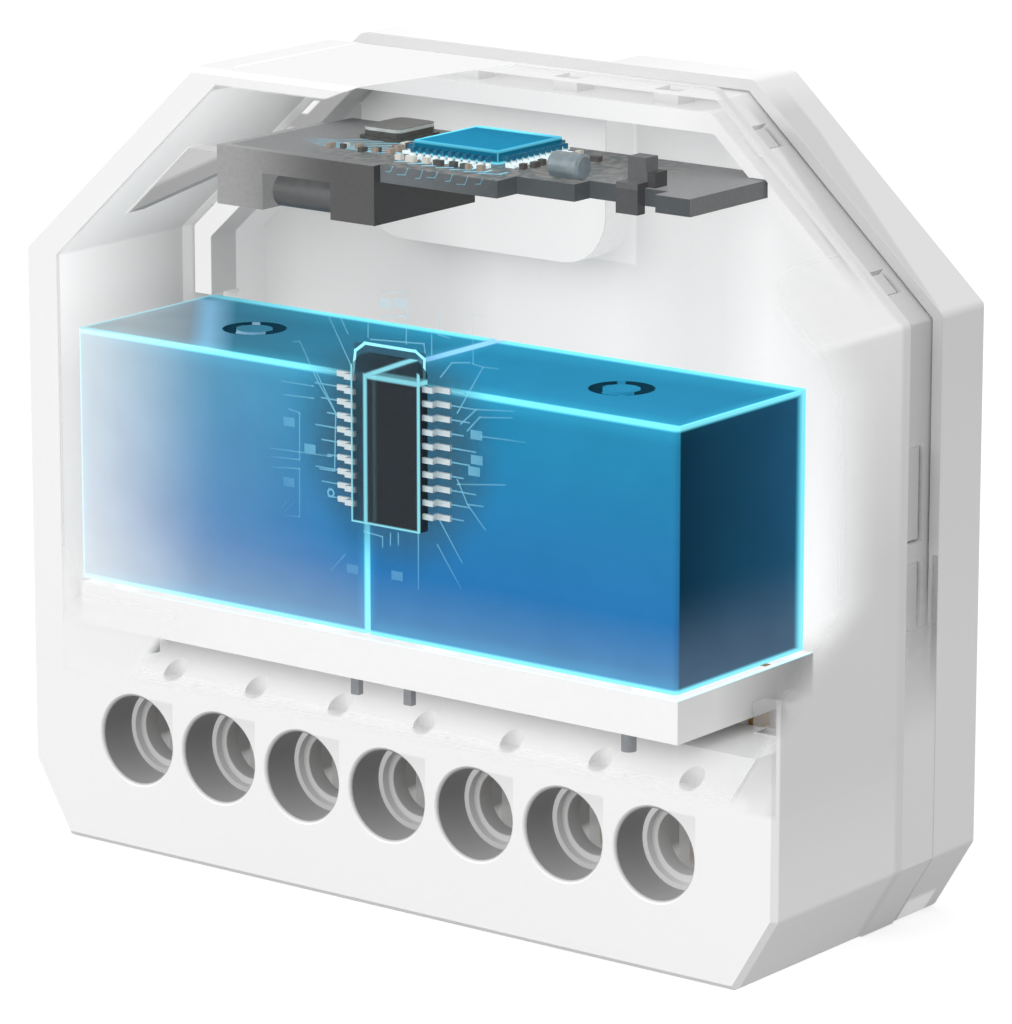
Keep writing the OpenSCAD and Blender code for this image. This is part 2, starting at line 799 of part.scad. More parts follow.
// Radio board: dark board with a stepped front edge and a tab in the cover's pad
module radio_board() {
    color("dimgray")
        union() {
            slab([carrier_x0 + carrier_lip, cut_x[0]], [radio_front, radio_back], [radio_z, radio_top]);
            slab([cut_x[0] - 0.5, cut_x[1]], [cut_front[0], radio_back], [radio_z, radio_top]);
            slab([cut_x[1] - 0.5, step_x + 0.5], [cut_front[1], radio_back], [radio_z, radio_top]);
            slab([step_x, radio_x1], [step_front, radio_back], [radio_z, radio_top]);
            slab([tab_x - tab_w / 2, tab_x + tab_w / 2], [radio_back - 0.5, pad_front + 0.8],
                 [radio_z, radio_top]);
        }
}

// Board carrier: dark moulding under the radio board's left half, with two legs and a front lip
module board_carrier() {
    color("gray")
        difference() {
            slab([carrier_x0, carrier_x1], [carrier_front, carrier_back], [carrier_z, radio_top]);
            slab([carrier_x0 + carrier_lip, carrier_x1 + 1], [radio_front, body_d],
                 [radio_z, radio_top + 1]);
            slab([pocket_x0, pocket_x1], [0, pocket_back], [0, carrier_z + pocket_h]);
        }
}

// Choke: small round core lying across the carrier's pocket, bonded to one leg
module choke() {
    color("darkslategray")
        translate([pocket_x0 + choke_room, front_y + choke_front + choke_d / 2,
                   carrier_z + pocket_h - 0.1 - choke_d / 2])
            rotate([0, 90, 0])
                cylinder(h = pocket_x1 - pocket_x0 - choke_room, d = choke_d);
}

// Processor: square moulded package with a bevelled roof edge
module processor() {
    color("deepskyblue")
        translate([chip_x, front_y + chip_depth, chip_z])
            linear_extrude(height = chip_t)
                polygon(rounded([for (c = [[-1, -1], [1, -1], [1, 1], [-1, 1]]) c * chip_w / 2], 0.2, 3));
}

// Processor leads: gull-wing leads round all four sides
module processor_leads() {
    spacing = (chip_w - 0.6) / (chip_leads_n - 1);
    thick = 0.2;
    shape = gull_wing(1, chip_w / 2, chip_z + chip_t / 2, radio_top, chip_lead_l);
    color("silver")
        for (turn = [0:90:270])
            for (i = [0:chip_leads_n - 1])
                translate([chip_x, front_y + chip_depth, 0])
                    rotate([90, 0, turn])
                        translate([0, 0, -chip_w / 2 + 0.3 + i * spacing - thick / 2])
                            linear_extrude(height = thick)
                                polygon(shape);
}

// Crystal can: low metal box with rounded corners on a thin flange
module crystal_can() {
    size = [2.5, 3.2];
    brim = 0.15;
    corners = [[-1, -1], [1, -1], [1, 1], [-1, 1]];
    foot = [for (c = corners) [c[0] * size[0] / 2, c[1] * size[1] / 2]];
    lid = [for (c = corners) [c[0] * (size[0] / 2 - brim), c[1] * (size[1] / 2 - brim)]];
    color("lightgray")
        translate([chip_x - chip_w / 2 - 3.65, front_y + chip_depth + 1.2, radio_top]) {
            linear_extrude(height = 0.15)
                polygon(rounded(foot, 0.3, 3));
            linear_extrude(height = 0.6)
                polygon(rounded(lid, 0.4, 3));
        }
}

// Storage capacitor: small can lying on the board behind its front cut
module storage_capacitor() {
    r = 0.6;
    l = 1.75;
    bead = 0.12;
    color("slategray")
        translate([cut_x[1] - l - 0.1, front_y + cut_front[0] + r + 0.3, radio_top + r])
            rotate([0, 90, 0])
                rotate_extrude()
                    polygon([[0, 0], [r - bead, 0], [r, bead], [r, l - bead], [r - bead, l], [0, l]]);
}

// Board connector: dark stepped block with a lug over the board's front edge
module board_connector() {
    lug_w = 1.2;
    off_middle = 0.306;
    x0 = (cut_x[1] + step_x - lug_w) / 2 + off_middle;
    post_w = 1;
    shoulder_w = 0.5;
    post = [cut_front[1] + 0.15, cut_front[1] + 1.05];
    color("dimgray") {
        slab([x0, x0 + lug_w], [cut_front[1] - 0.6, cut_front[1] - 0.05],
             [radio_z - 0.35, radio_top + 0.1]);
        slab([x0, x0 + lug_w], [cut_front[1] - 0.6, post[1]], [radio_top, radio_top + 0.25]);
        slab([x0 + 0.1, x0 + 0.1 + post_w], post, [radio_top, radio_top + 1.3]);
        slab([x0 + post_w, x0 + 0.1 + post_w + shoulder_w], post, [radio_top, radio_top + 0.7]);
    }
}

// Passive parts: chip resistors and capacitors in loose rows on the radio board
module board_passives() {
    color("tan") {
        for (i = [0:6])
            chip_part(chip_x - 2.3 + i * 0.78, front_row - 0.12 * (i % 2),
                      [0.32 + 0.16 * (i % 2), 0.28, 0.26]);
        for (i = [0:6])
            chip_part(chip_x + chip_w / 2 + 1.15 + 0.14 * (i % 2), chip_depth - 2.1 + i * 0.7,
                      [0.28, 0.3 + 0.14 * (i % 2), 0.26]);
        for (i = [0:3])
            chip_part(chip_x + chip_w / 2 + 1.95 + (i % 2) * 0.6, chip_depth - 0.9 + i * 0.8,
                      [0.5, 0.32, 0.24]);
        for (i = [0:5])
            chip_part(chip_x - chip_w / 2 - 4.3 + i * 0.62, radio_front + 2.1 + 0.25 * (i % 3),
                      [0.26, 0.42, 0.22]);
        for (i = [0:4])
            chip_part(chip_x - chip_w / 2 - 1.25 - 0.2 * (i % 2), chip_depth - 1.9 + i * 0.85,
                      [0.32, 0.5, 0.28]);
    }
}

// One chip part on the radio board, given its middle and size
module chip_part(x, depth, size) {
    translate([x - size[0] / 2, front_y + depth - size[1] / 2, radio_top])
        cube(size);
}

front_housing();
rear_cover();
terminal_block();
contact_bars();
power_board();
relay_case(0);  // relay_case_left
relay_base(0);  // relay_base_left
relay_pins(0);  // relay_pins_left
relay_yoke(0);  // relay_yoke_left
relay_bobbin(0);  // relay_bobbin_left
relay_coil(0);  // relay_coil_left
relay_armature(0);  // relay_armature_left
contact_arm(0);  // contact_arm_left
fixed_contact(0);  // fixed_contact_left
relay_case(1);  // relay_case_right
relay_base(1);  // relay_base_right
relay_pins(1);  // relay_pins_right
relay_yoke(1);  // relay_yoke_right
relay_bobbin(1);  // relay_bobbin_right
relay_coil(1);  // relay_coil_right
relay_armature(1);  // relay_armature_right
contact_arm(1);  // contact_arm_right
fixed_contact(1);  // fixed_contact_right
flex_circuit();
metering_chip();
metering_leads();
radio_board();
board_carrier();
choke();
processor();
processor_leads();
crystal_can();
storage_capacitor();
board_connector();
board_passives();
terminal_screw(1);  // terminal_screw_1
terminal_screw(2);  // terminal_screw_2
terminal_screw(3);  // terminal_screw_3
terminal_screw(4);  // terminal_screw_4
terminal_screw(5);  // terminal_screw_5
terminal_screw(6);  // terminal_screw_6
terminal_screw(7);  // terminal_screw_7
clamp_cage(1);  // clamp_cage_1
clamp_cage(2);  // clamp_cage_2
clamp_cage(3);  // clamp_cage_3
clamp_cage(4);  // clamp_cage_4
clamp_cage(5);  // clamp_cage_5
clamp_cage(6);  // clamp_cage_6
clamp_cage(7);  // clamp_cage_7
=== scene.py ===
import bpy
import numpy as np
from mathutils import Matrix


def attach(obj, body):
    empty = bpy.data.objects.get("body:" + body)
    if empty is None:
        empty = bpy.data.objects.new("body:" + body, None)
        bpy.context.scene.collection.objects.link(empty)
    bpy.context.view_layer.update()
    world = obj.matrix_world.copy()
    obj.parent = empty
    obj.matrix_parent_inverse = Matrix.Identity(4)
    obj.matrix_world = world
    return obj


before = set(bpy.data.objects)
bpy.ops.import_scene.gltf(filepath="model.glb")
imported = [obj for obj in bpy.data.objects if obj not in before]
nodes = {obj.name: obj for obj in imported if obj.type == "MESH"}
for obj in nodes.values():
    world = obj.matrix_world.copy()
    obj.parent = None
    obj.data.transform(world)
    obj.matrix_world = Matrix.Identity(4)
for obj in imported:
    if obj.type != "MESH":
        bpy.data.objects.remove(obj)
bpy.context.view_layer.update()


# Front housing: a deep eight-sided tub moulded in white ABS and pushed over the rear cover until its
# tongue snaps. It is shown cut away: opaque round the terminal row and along the left, clear in front of
# the relays and boards.
case_w, case_h, case_d = 43.0, 37.8, 16.0
slope_w, slope_h = 10.3, 9.4
shell_d, wall_t = 9.9, 1.2
mm_per_m = 1000.0


def lin(code):
    """Linear RGBA of an sRGB hex colour: the standard sRGB curve on each channel."""
    c = np.array([int(code[i:i + 2], 16) for i in (0, 2, 4)]) / 255
    c = np.where(c <= 0.04045, c / 12.92, ((c + 0.055) / 1.055) ** 2.4)
    return (*c.tolist(), 1.0)


def feed(socket, value):
    """Links a socket to another one or sets it, with a hex code as a colour."""
    if isinstance(value, bpy.types.NodeSocket):
        socket.id_data.links.new(value, socket)
    else:
        socket.default_value = lin(value) if isinstance(value, str) else value


def add(tree, kind, ins=(), out=0, **settings):
    """Adds a node with its settings and returns one output. A dict feeds its sockets by name, and a list its
    open sockets in turn; what one node can't hold of a list goes on with its result into another."""
    node = tree.nodes.new("ShaderNode" + kind)
    for key, value in settings.items():
        setattr(node, key, value)
    inputs = [socket for socket in node.inputs if socket.enabled]
    pairs = [(node.inputs[key], ins[key]) for key in ins] if isinstance(ins, dict) else zip(inputs, ins)
    for socket, value in pairs:
        feed(socket, value)
    outputs = node.outputs if isinstance(out, str) else [socket for socket in node.outputs if socket.enabled]
    result = outputs[out] if outputs else node
    if isinstance(ins, list) and len(ins) > len(inputs):
        return add(tree, kind, [result, *ins[len(inputs):]], out, **settings)
    return result


def begin(name, roughness=0.45, metallic=0.0, ior=1.5):
    """New material with one Principled shader: itself, its tree, the shader and the point in millimetres."""
    material = bpy.data.materials.new(name)
    material.use_nodes = True
    tree = material.node_tree
    tree.nodes.clear()
    surface = add(tree, "BsdfPrincipled", {"Roughness": roughness, "Metallic": metallic, "IOR": ior})
    add(tree, "OutputMaterial", [surface])
    place = add(tree, "TexCoord", out="Object")
    point = add(tree, "VectorMath", {0: place, "Scale": mm_per_m}, operation="SCALE")
    return material, tree, surface.node, point


def give(socket, value):
    """Feeds a socket of the shader begun last."""
    feed(shader.inputs[socket], value)


def moulded_grain(size):
    """Fine grain of a spark-eroded mould, of a size in millimetres, that also tilts the surface a little."""
    grain = add(t, "TexNoise", {"Vector": point, "Scale": 1 / size, "Detail": 2.0})
    give("Normal", add(t, "Bump", {"Strength": 0.08, "Distance": 0.00001, "Height": grain}))
    return grain


def under_slope(way):
    """Depth of a point below the left sloped wall, or with way -1 below the right one, square to it."""
    length = float(np.hypot(slope_w, slope_h))
    start = (-case_w / 2 * slope_h - (case_h - slope_h) * slope_w) / length
    normal = (way * slope_h / length, 0, -slope_w / length)
    return add(t, "Math", [add(t, "VectorMath", [point, normal], operation="DOT_PRODUCT"), start],
               operation="SUBTRACT")


def wear(node_name, material):
    """Puts a material in every slot of a CAD node."""
    mesh = nodes[node_name].data
    if not mesh.materials:
        mesh.materials.append(material)
    for i in range(len(mesh.materials)):
        mesh.materials[i] = material


# White ABS off a fine spark-eroded mould: an even satin with a hardly seen grain of about 0.15 mm
white_abs, t, shader, point = begin("white_abs_fading_clear")
grain = moulded_grain(0.15)
give("Roughness", add(t, "MapRange", [grain, 0.3, 0.7, 0.42, 0.52]))
x, y, z = add(t, "SeparateXYZ", [point]).node.outputs
depth = add(t, "Math", [y, case_d / 2], operation="ADD")
at_front = add(t, "MapRange", [depth, 0.3, 0.4, 1, 0])
clear_from, clear_to = 8.05, 8.9
soft = {"interpolation_type": "SMOOTHSTEP"}
low = add(t, "MapRange", [z, clear_from, clear_to, 1, 0], **soft)
# Beside the terminal block's slope the front stays opaque a little higher, along its slanting ends
lean = add(t, "Math", [z, -0.787, x], operation="MULTIPLY_ADD")
low_left = add(t, "Math", [add(t, "MapRange", [lean, -22.2, -21.3, 0.95, 0], **soft),
                           add(t, "MapRange", [z, 10.2, 13.0, 1, 0], **soft)], operation="MULTIPLY")
lean = add(t, "Math", [z, -0.614, x], operation="MULTIPLY_ADD")
low_right = add(t, "Math", [add(t, "MapRange", [lean, 13.5, 14.1, 0, 0.65], **soft),
                            add(t, "MapRange", [z, 8.5, 14.0, 1, 0], **soft)], operation="MULTIPLY")
beside = add(t, "Math", [add(t, "MapRange", [x, -20.2, -17.5, 0.9, 0], **soft),
                         add(t, "MapRange", [z, 12.5, 15.5, 1, 0], **soft)], operation="MULTIPLY")
low_ends = add(t, "Math", [low_left, beside, low_right], operation="MAXIMUM")
low_ends = add(t, "Math", [low_ends, at_front], operation="MULTIPLY")
from_left = add(t, "Math", [x, case_w / 2], operation="ADD")
from_slope = under_slope(1)
wall_off = add(t, "Math", [from_left, from_slope], operation="MINIMUM")
# On the front the cut edge covers the thickness of the wall behind it
front_off = add(t, "Math", [from_left, 0.47], operation="SUBTRACT")
front_off = add(t, "Math", [front_off, from_slope], operation="MINIMUM")
rim = add(t, "Math", [add(t, "MapRange", [front_off, 1.5, 1.6, 1, 0], **soft), at_front],
          operation="MULTIPLY")
rim = add(t, "Math", [rim, add(t, "MapRange", [wall_off, wall_t + 0.02, wall_t + 0.05, 1, 0])],
          operation="MAXIMUM")
under_roof = add(t, "Math", [case_h, z], operation="SUBTRACT")
roof_cut = add(t, "Math", [under_roof, 2.5, x], operation="MULTIPLY_ADD")
roof_cut = add(t, "Math", [depth, -0.175, roof_cut], operation="MULTIPLY_ADD")
roof = add(t, "Math", [add(t, "MapRange", [under_roof, 0.65, 0.75, 1, 0]),
                       add(t, "MapRange", [roof_cut, -1.65, -1.45, 1, 0])], operation="MULTIPLY")
# Towards the seam the right wall turns opaque again, the right slope and the roof only in a narrow band
from_right = add(t, "Math", [case_w / 2, x], operation="SUBTRACT")
right_slope = under_slope(-1)
skin = add(t, "Math", [from_right, right_slope, under_roof], operation="MINIMUM")
fade_from = add(t, "Math", [add(t, "MapRange", [z, 10.0, 16.5, -8.6, 0]),
                            add(t, "MapRange", [z, 26.0, 29.0, 2.6, 1.0])], operation="ADD")
fade_to = add(t, "Math", [add(t, "MapRange", [z, 10.0, 16.5, -9.0, 0]),
                          add(t, "MapRange", [z, 26.0, 29.0, 8.0, 5.5])], operation="ADD")
right = add(t, "Math", [add(t, "MapRange", [depth, fade_from, fade_to, 0, 0.98], **soft),
                        add(t, "MapRange", [z, 29.0, 32.5, 1, 0], **soft)], operation="MULTIPLY")
right = add(t, "Math", [right, add(t, "MapRange", [depth, 9.2, 9.6, 0, 0.98])], operation="MAXIMUM")
right = add(t, "Math", [right, add(t, "MapRange", [skin, 0.1, 0.15, 1, 0])], operation="MULTIPLY")
tongue = add(t, "MapRange", [depth, shell_d, shell_d + 0.02, 0, 0.92])
gusset = add(t, "Math", [add(t, "MapRange", [depth, 3.45, 3.5, 0, 1]),
                         add(t, "MapRange", [depth, 4.7, 4.75, 1, 0]),
                         add(t, "MapRange", [x, -12.1, -12.05, 1, 0]),
                         add(t, "MapRange", [wall_off, wall_t + 0.08, wall_t + 0.12, 0, 1]),
                         add(t, "MapRange", [z, 28.9, 29.1, 0, 1]),
                         add(t, "MapRange", [z, 33.4, 33.5, 1, 0])], operation="MULTIPLY")
cover = add(t, "Math", [low, rim, roof, right, tongue, low_ends, gusset], operation="MAXIMUM")
abs_tone_and_shade = add(t, "Mix", [grain, "f4f4f4", "f7f7f7"], data_type="RGBA")
# Painted shade: the right wall is grey low down, greyest at mid height and whiter towards the top
right_wall_shade = add(t, "Mix", [add(t, "MapRange", [z, 18.0, 28.5, 0, 1]), "e0e0e0", "f8f8f8"],
                data_type="RGBA")
right_wall_shade = add(t, "Mix", [add(t, "MapRange", [z, 4.5, 9.5, 1, 0]), right_wall_shade, "eaeaea"], data_type="RGBA")
on_right = add(t, "Math", [add(t, "MapRange", [from_right, 2.15, 2.2, 1, 0]),
                           add(t, "MapRange", [depth, 0.25, 0.35, 0, 1])], operation="MULTIPLY")
abs_tone_and_shade = add(t, "Mix", [on_right, abs_tone_and_shade, right_wall_shade], data_type="RGBA")
# Painted shade: the roof a touch grey
abs_tone_and_shade = add(t, "Mix", [add(t, "MapRange", [under_roof, 0.02, 0.05, 1, 0]), abs_tone_and_shade, "e8e8e8"],
               data_type="RGBA")
# Painted shade: the right slope greyer than the walls, most near the seam
on_slope = add(t, "Math", [add(t, "MapRange", [right_slope, 0.1, 0.15, 1, 0]),
                           add(t, "MapRange", [z, 28.4, 28.6, 0, 1])], operation="MULTIPLY")
right_slope_shade = add(t, "Mix", [add(t, "MapRange", [depth, 9.0, 9.25, 0, 1]), "eaeaea", "dedede"],
                 data_type="RGBA")
abs_tone_and_shade = add(t, "Mix", [on_slope, abs_tone_and_shade, right_slope_shade], data_type="RGBA")
# Painted shade: the inner face of the left wall and left slope darkens towards the back
inside = add(t, "Math", [add(t, "MapRange", [wall_off, wall_t - 0.1, wall_t - 0.05, 0, 1]),
                         add(t, "MapRange", [wall_off, 2.0, 2.2, 1, 0]),
                         add(t, "MapRange", [depth, 0.5, 9.5, 0, 1]),
                         add(t, "MapRange", [under_roof, 0.3, 0.5, 0, 1])], operation="MULTIPLY")
abs_tone_and_shade = add(t, "Mix", [inside, abs_tone_and_shade, "a2a2a2"], data_type="RGBA")
# Painted shade on the gusset that bears the board carrier: grey, darkest along its lower edge
rise = add(t, "Math", [x, -0.4526, z], operation="MULTIPLY_ADD")
gusset_shade = add(t, "Mix", [add(t, "MapRange", [rise, 38.55, 38.8, 0, 1]), "a0a0a0", "c8c8c8"],
                  data_type="RGBA")
abs_tone_and_shade = add(t, "Mix", [gusset, abs_tone_and_shade, gusset_shade], data_type="RGBA")
# Painted light: the inner face of the thin wall glows a little, for daylight through it, most near the front
through = add(t, "Math", [add(t, "MapRange", [wall_off, wall_t - 0.1, wall_t - 0.05, 0, 1]),
                          add(t, "MapRange", [wall_off, wall_t + 0.03, wall_t + 0.06, 1, 0]),
                          add(t, "MapRange", [depth, 1.05, 1.15, 0, 1]),
                          add(t, "MapRange", [depth, 0.9, 9.5, 0.31, 0.13]),
                          add(t, "MapRange", [z, 22.0, 26.0, 0.5, 1])], operation="MULTIPLY")
give("Emission Color", (1, 1, 1, 1))
give("Emission Strength", through)
# The rounded rear edge of the shell and the sunk seam behind it lie in shade, least on the roof
by_seam = add(t, "Math", [add(t, "MapRange", [depth, shell_d - 0.75, shell_d - 0.45, 0, 0.8]),
                          add(t, "MapRange", [x, 0.0, 10.0, 0, 1])], operation="MULTIPLY")
abs_tone_and_shade = add(t, "Mix", [by_seam, abs_tone_and_shade, "d8d8d8"], data_type="RGBA")
seam_tone = add(t, "Mix", [add(t, "MapRange", [z, 28.0, 29.0, 0, 1]), "c4c4c4", "cacaca"],
                data_type="RGBA")
seam_tone = add(t, "Mix", [add(t, "MapRange", [z, 36.2, 37.0, 0, 1]), seam_tone, "e6e6e6"],
                data_type="RGBA")
# Up the right slope the shade in the seam draws back towards the cover
lag = add(t, "Math", [add(t, "MapRange", [z, 28.4, 35.5, 0, 1.6]),
                      add(t, "MapRange", [x, 10.0, 10.5, 0, 1])], operation="MULTIPLY")
past_lag = add(t, "Math", [depth, lag], operation="SUBTRACT")
seam_front = add(t, "Math", [add(t, "MapRange", [past_lag, shell_d - 0.1, shell_d + 0.25, 1, 0]),
                             add(t, "MapRange", [z, 28.6, 29.2, 0, 1])], operation="MULTIPLY")
seam_tone = add(t, "Mix", [seam_front, seam_tone, "e6e6e6"], data_type="RGBA")
abs_tone_and_shade = add(t, "Mix", [tongue, abs_tone_and_shade, seam_tone], data_type="RGBA")

# The seven wire holes are drawn in shade: the plastic round each axis is grey, darkest at the upper left
n_holes, pitch, hole_z, hole_r = 7, 5.0, 5.45, 2.1


def from_hole():
    """Offset of a point from the axis of the nearest wire hole: across, up, as a vector and as a length."""
    across = add(t, "Math", [x, pitch / 2], operation="ADD")
    across = add(t, "Math", [across, pitch], operation="FLOORED_MODULO")
    across = add(t, "Math", [across, pitch / 2], operation="SUBTRACT")
    up = add(t, "Math", [z, hole_z], operation="SUBTRACT")
    offset = add(t, "CombineXYZ", [across, 0.0, up])
    return across, up, offset, add(t, "VectorMath", [offset, (0, 0, 0)], operation="DISTANCE")


hole_x, hole_up, hole_off, off_axis = from_hole()
in_hole = add(t, "Math", [add(t, "MapRange", [off_axis, hole_r + 0.12, hole_r + 0.18, 1, 0]),
                          add(t, "MapRange", [depth, 0.03, 0.16, 0, 1])], operation="MULTIPLY")
in_row = add(t, "Math", [add(t, "Math", [x], operation="ABSOLUTE"), n_holes / 2 * pitch],
             operation="LESS_THAN")
in_hole = add(t, "Math", [in_hole, in_row], operation="MULTIPLY")
# Painted shade: right above each hole the shaded arch of the wire chamber behind is drawn faintly on the
# front
arch = add(t, "Math", [add(t, "MapRange", [hole_x, 0.7, 0.8, 0, 1]),
                       add(t, "MapRange", [hole_x, 2.2, 2.28, 1, 0]),
                       add(t, "MapRange", [hole_up, -0.3, 1.9, 0, 0.5]),
                       add(t, "MapRange", [hole_up, 2.1, 2.2, 1, 0]), in_row], operation="MULTIPLY")
abs_tone_and_shade = add(t, "Mix", [arch, abs_tone_and_shade, "d4d4d4"], data_type="RGBA")
shade = add(t, "VectorMath", [hole_off, (0.12, 0, -0.2)], operation="DOT_PRODUCT")
hole_tone = add(t, "Mix", [add(t, "MapRange", [shade, -0.35, 0.4, 0, 1]), "727272", "939393"],
                data_type="RGBA")
abs_tone_and_shade = add(t, "Mix", [in_hole, abs_tone_and_shade, hole_tone], data_type="RGBA")
give("Base Color", abs_tone_and_shade)
give("Alpha", add(t, "Math", [cover, in_hole], operation="MAXIMUM"))
wear("front_housing", white_abs)
nodes["front_housing"].visible_shadow = False
nodes["front_housing"].visible_diffuse = False


# Seam strap: a thin moulded band that lies in the sunk seam round the foot of the case, flush with both
# halves, so that the seam runs out above it. It is bonded to the tongue.
strap_t, strap_top, cover_d = 0.3, 17.5, 12.4
foot_w, foot_h = 2.1, 3.5


def band(outline, thickness, front, back):
    """Closed band: an open outline in X and Z and a second one a thickness inside it, along mitred normals,
    both drawn out from front to back."""
    step = np.diff(outline, axis=0)
    step = step / np.linalg.norm(step, axis=1, keepdims=True)
    ahead = np.concatenate([step, step[-1:]])
    along = ahead + np.concatenate([step[:1], step])
    along = along / np.linalg.norm(along, axis=1, keepdims=True)
    inward = np.column_stack([-along[:, 1], along[:, 0]])
    inward = inward * thickness / (along * ahead).sum(1, keepdims=True)
    ring = np.stack([outline, outline, outline + inward, outline + inward], 1)
    points = np.insert(ring, 1, [front, back, back, front], axis=2).reshape(-1, 3)
    first = 4 * np.arange(len(outline) - 1)[:, None, None]
    corner = np.arange(4)
    quads = first + np.stack([corner, (corner + 1) % 4, (corner + 1) % 4 + 4, corner + 4], 1)
    ends = [[3, 2, 1, 0], [len(points) - 4, len(points) - 3, len(points) - 2, len(points) - 1]]
    return points, quads.reshape(-1, 4).tolist() + ends


half_w = case_w / 2 - 0.01
outline = np.array([[half_w, strap_top], [half_w, foot_h], [half_w - foot_w, 0.01],
                    [foot_w - half_w, 0.01], [-half_w, foot_h], [-half_w, strap_top]])
points, faces = band(outline[::-1], strap_t, shell_d - case_d / 2, cover_d - case_d / 2)
mesh = bpy.data.meshes.new("seam_strap")
mesh.from_pydata((points / mm_per_m).tolist(), [], faces)
# The same white ABS in painted shade, thinner towards the top, where the seam shows through it
strap_abs, t, shader, point = begin("white_abs_strap")
x, y, z = add(t, "SeparateXYZ", [point]).node.outputs
grain = moulded_grain(0.15)
give("Base Color", add(t, "Mix", [grain, "e0e0e0", "e4e4e4"], data_type="RGBA"))
give("Alpha", add(t, "MapRange", [z, 9.0, strap_top, 1, 0], **soft))
mesh.materials.append(strap_abs)
strap = bpy.data.objects.new("seam_strap", mesh)
bpy.context.collection.objects.link(strap)
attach(strap, "module")


# Rear cover: the shallow back half in the same white ABS, with the skirt that the tongue snaps over and a
# raised pad for the radio board. It is opaque: the bright back wall that is seen through the clear front.
cover_abs, t, shader, point = begin("white_abs_cover")
grain = moulded_grain(0.15)
give("Roughness", add(t, "MapRange", [grain, 0.3, 0.7, 0.42, 0.52]))
x, y, z = add(t, "SeparateXYZ", [point]).node.outputs
cover_tone_and_shade = add(t, "Mix", [grain, "eeeeee", "f2f2f2"], data_type="RGBA")
inner_back, skirt_front = 6.85, 2.72
indoors = add(t, "MapRange", [y, inner_back, inner_back + 0.05, 1, 0])
# Painted shade: the inner back wall is darker towards the left
back_wall_shade = add(t, "Math", [indoors, add(t, "MapRange", [x, -19.0, 12.0, 1, 0])], operation="MULTIPLY")
cover_tone_and_shade = add(t, "Mix", [back_wall_shade, cover_tone_and_shade, "c4c4c4"], data_type="RGBA")
# The front edge of its rim and the snaps in the sunk seam lie in shade
in_seam = add(t, "Math", [add(t, "MapRange", [y, 2.75, 2.8, 0, 1]),
                          add(t, "MapRange", [y, 4.42, 4.5, 1, 0])], operation="MULTIPLY")
rim_front = add(t, "Math", [add(t, "MapRange", [y, 3.9, 4.1, 0, 1]),
                            add(t, "MapRange", [z, 35.5, 36.5, 0, 1])], operation="MULTIPLY")
seam_tone = add(t, "Mix", [rim_front, "cacaca", "dedede"], data_type="RGBA")
seam_tone = add(t, "Mix", [add(t, "MapRange", [z, 28.0, 29.0, 0, 1]), "c2c2c2", seam_tone],
                data_type="RGBA")
cover_tone_and_shade = add(t, "Mix", [in_seam, cover_tone_and_shade, seam_tone], data_type="RGBA")
# Painted shade: towards the right the cover's outside is a little grey, greyer higher up
outer_right = add(t, "Math", [add(t, "MapRange", [x, 10.5, 12.5, 0, 1]),
                              add(t, "MapRange", [y, 4.4, 4.5, 0, 1]),
                              add(t, "MapRange", [y, 7.75, 7.95, 1, 0])], operation="MULTIPLY")
rim_shade = add(t, "Mix", [add(t, "MapRange", [z, 12.0, 26.0, 0, 1]), "e4e4e4", "dcdcdc"], data_type="RGBA")
cover_tone_and_shade = add(t, "Mix", [outer_right, cover_tone_and_shade, rim_shade], data_type="RGBA")
# Painted shade of the seam, drawn back onto the cover up the right slope
lag = add(t, "MapRange", [z, 28.4, 35.5, 0, 1.6])
past_lag = add(t, "Math", [y, lag], operation="SUBTRACT")
lag = add(t, "Math", [add(t, "MapRange", [past_lag, 4.35, 4.6, 1, 0]),
                      add(t, "MapRange", [z, 28.4, 28.8, 0, 1]), add(t, "MapRange", [z, 36.4, 37.4, 1, 0]),
                      outer_right], operation="MULTIPLY")
cover_tone_and_shade = add(t, "Mix", [lag, cover_tone_and_shade, "cacaca"], data_type="RGBA")
# Its left sloped wall lies deep in the shade of the roof
off_slope = under_slope(1)
in_slope = add(t, "Math", [add(t, "MapRange", [off_slope, 0.4, 0.5, 0, 1]),
                           add(t, "MapRange", [off_slope, 2.3, 2.4, 1, 0]),
                           add(t, "MapRange", [z, 36.0, 36.2, 1, 0]),
                           add(t, "MapRange", [y, 2.8, 2.85, 0, 1]),
                           add(t, "MapRange", [y, 6.8, 6.9, 1, 0]),
                           add(t, "MapRange", [z, 29.0, 31.0, 0, 1])], operation="MULTIPLY")
cover_tone_and_shade = add(t, "Mix", [in_slope, cover_tone_and_shade, "a6a6a6"], data_type="RGBA")
# High up the front edge of its skirt is in shade too, but for a slit where light comes past the shell
edge_dark = add(t, "Math", [add(t, "MapRange", [y, skirt_front, skirt_front + 0.04, 1, 0]),
                            add(t, "MapRange", [z, 33.0, 33.3, 0, 1]),
                            add(t, "MapRange", [x, -10.5, -10.3, 1, 0])], operation="MULTIPLY")
slit = add(t, "Math", [add(t, "MapRange", [off_slope, 1.5, 1.6, 1, 0]),
                       add(t, "MapRange", [z, 33.9, 34.0, 0, 1]),
                       add(t, "MapRange", [z, 34.6, 34.7, 1, 0])], operation="MULTIPLY")
no_slit = add(t, "Math", [1.0, slit], operation="SUBTRACT")
edge_dark = add(t, "Math", [edge_dark, no_slit], operation="MULTIPLY")
cover_tone_and_shade = add(t, "Mix", [edge_dark, cover_tone_and_shade, "a6a6a6"], data_type="RGBA")
give("Base Color", cover_tone_and_shade)
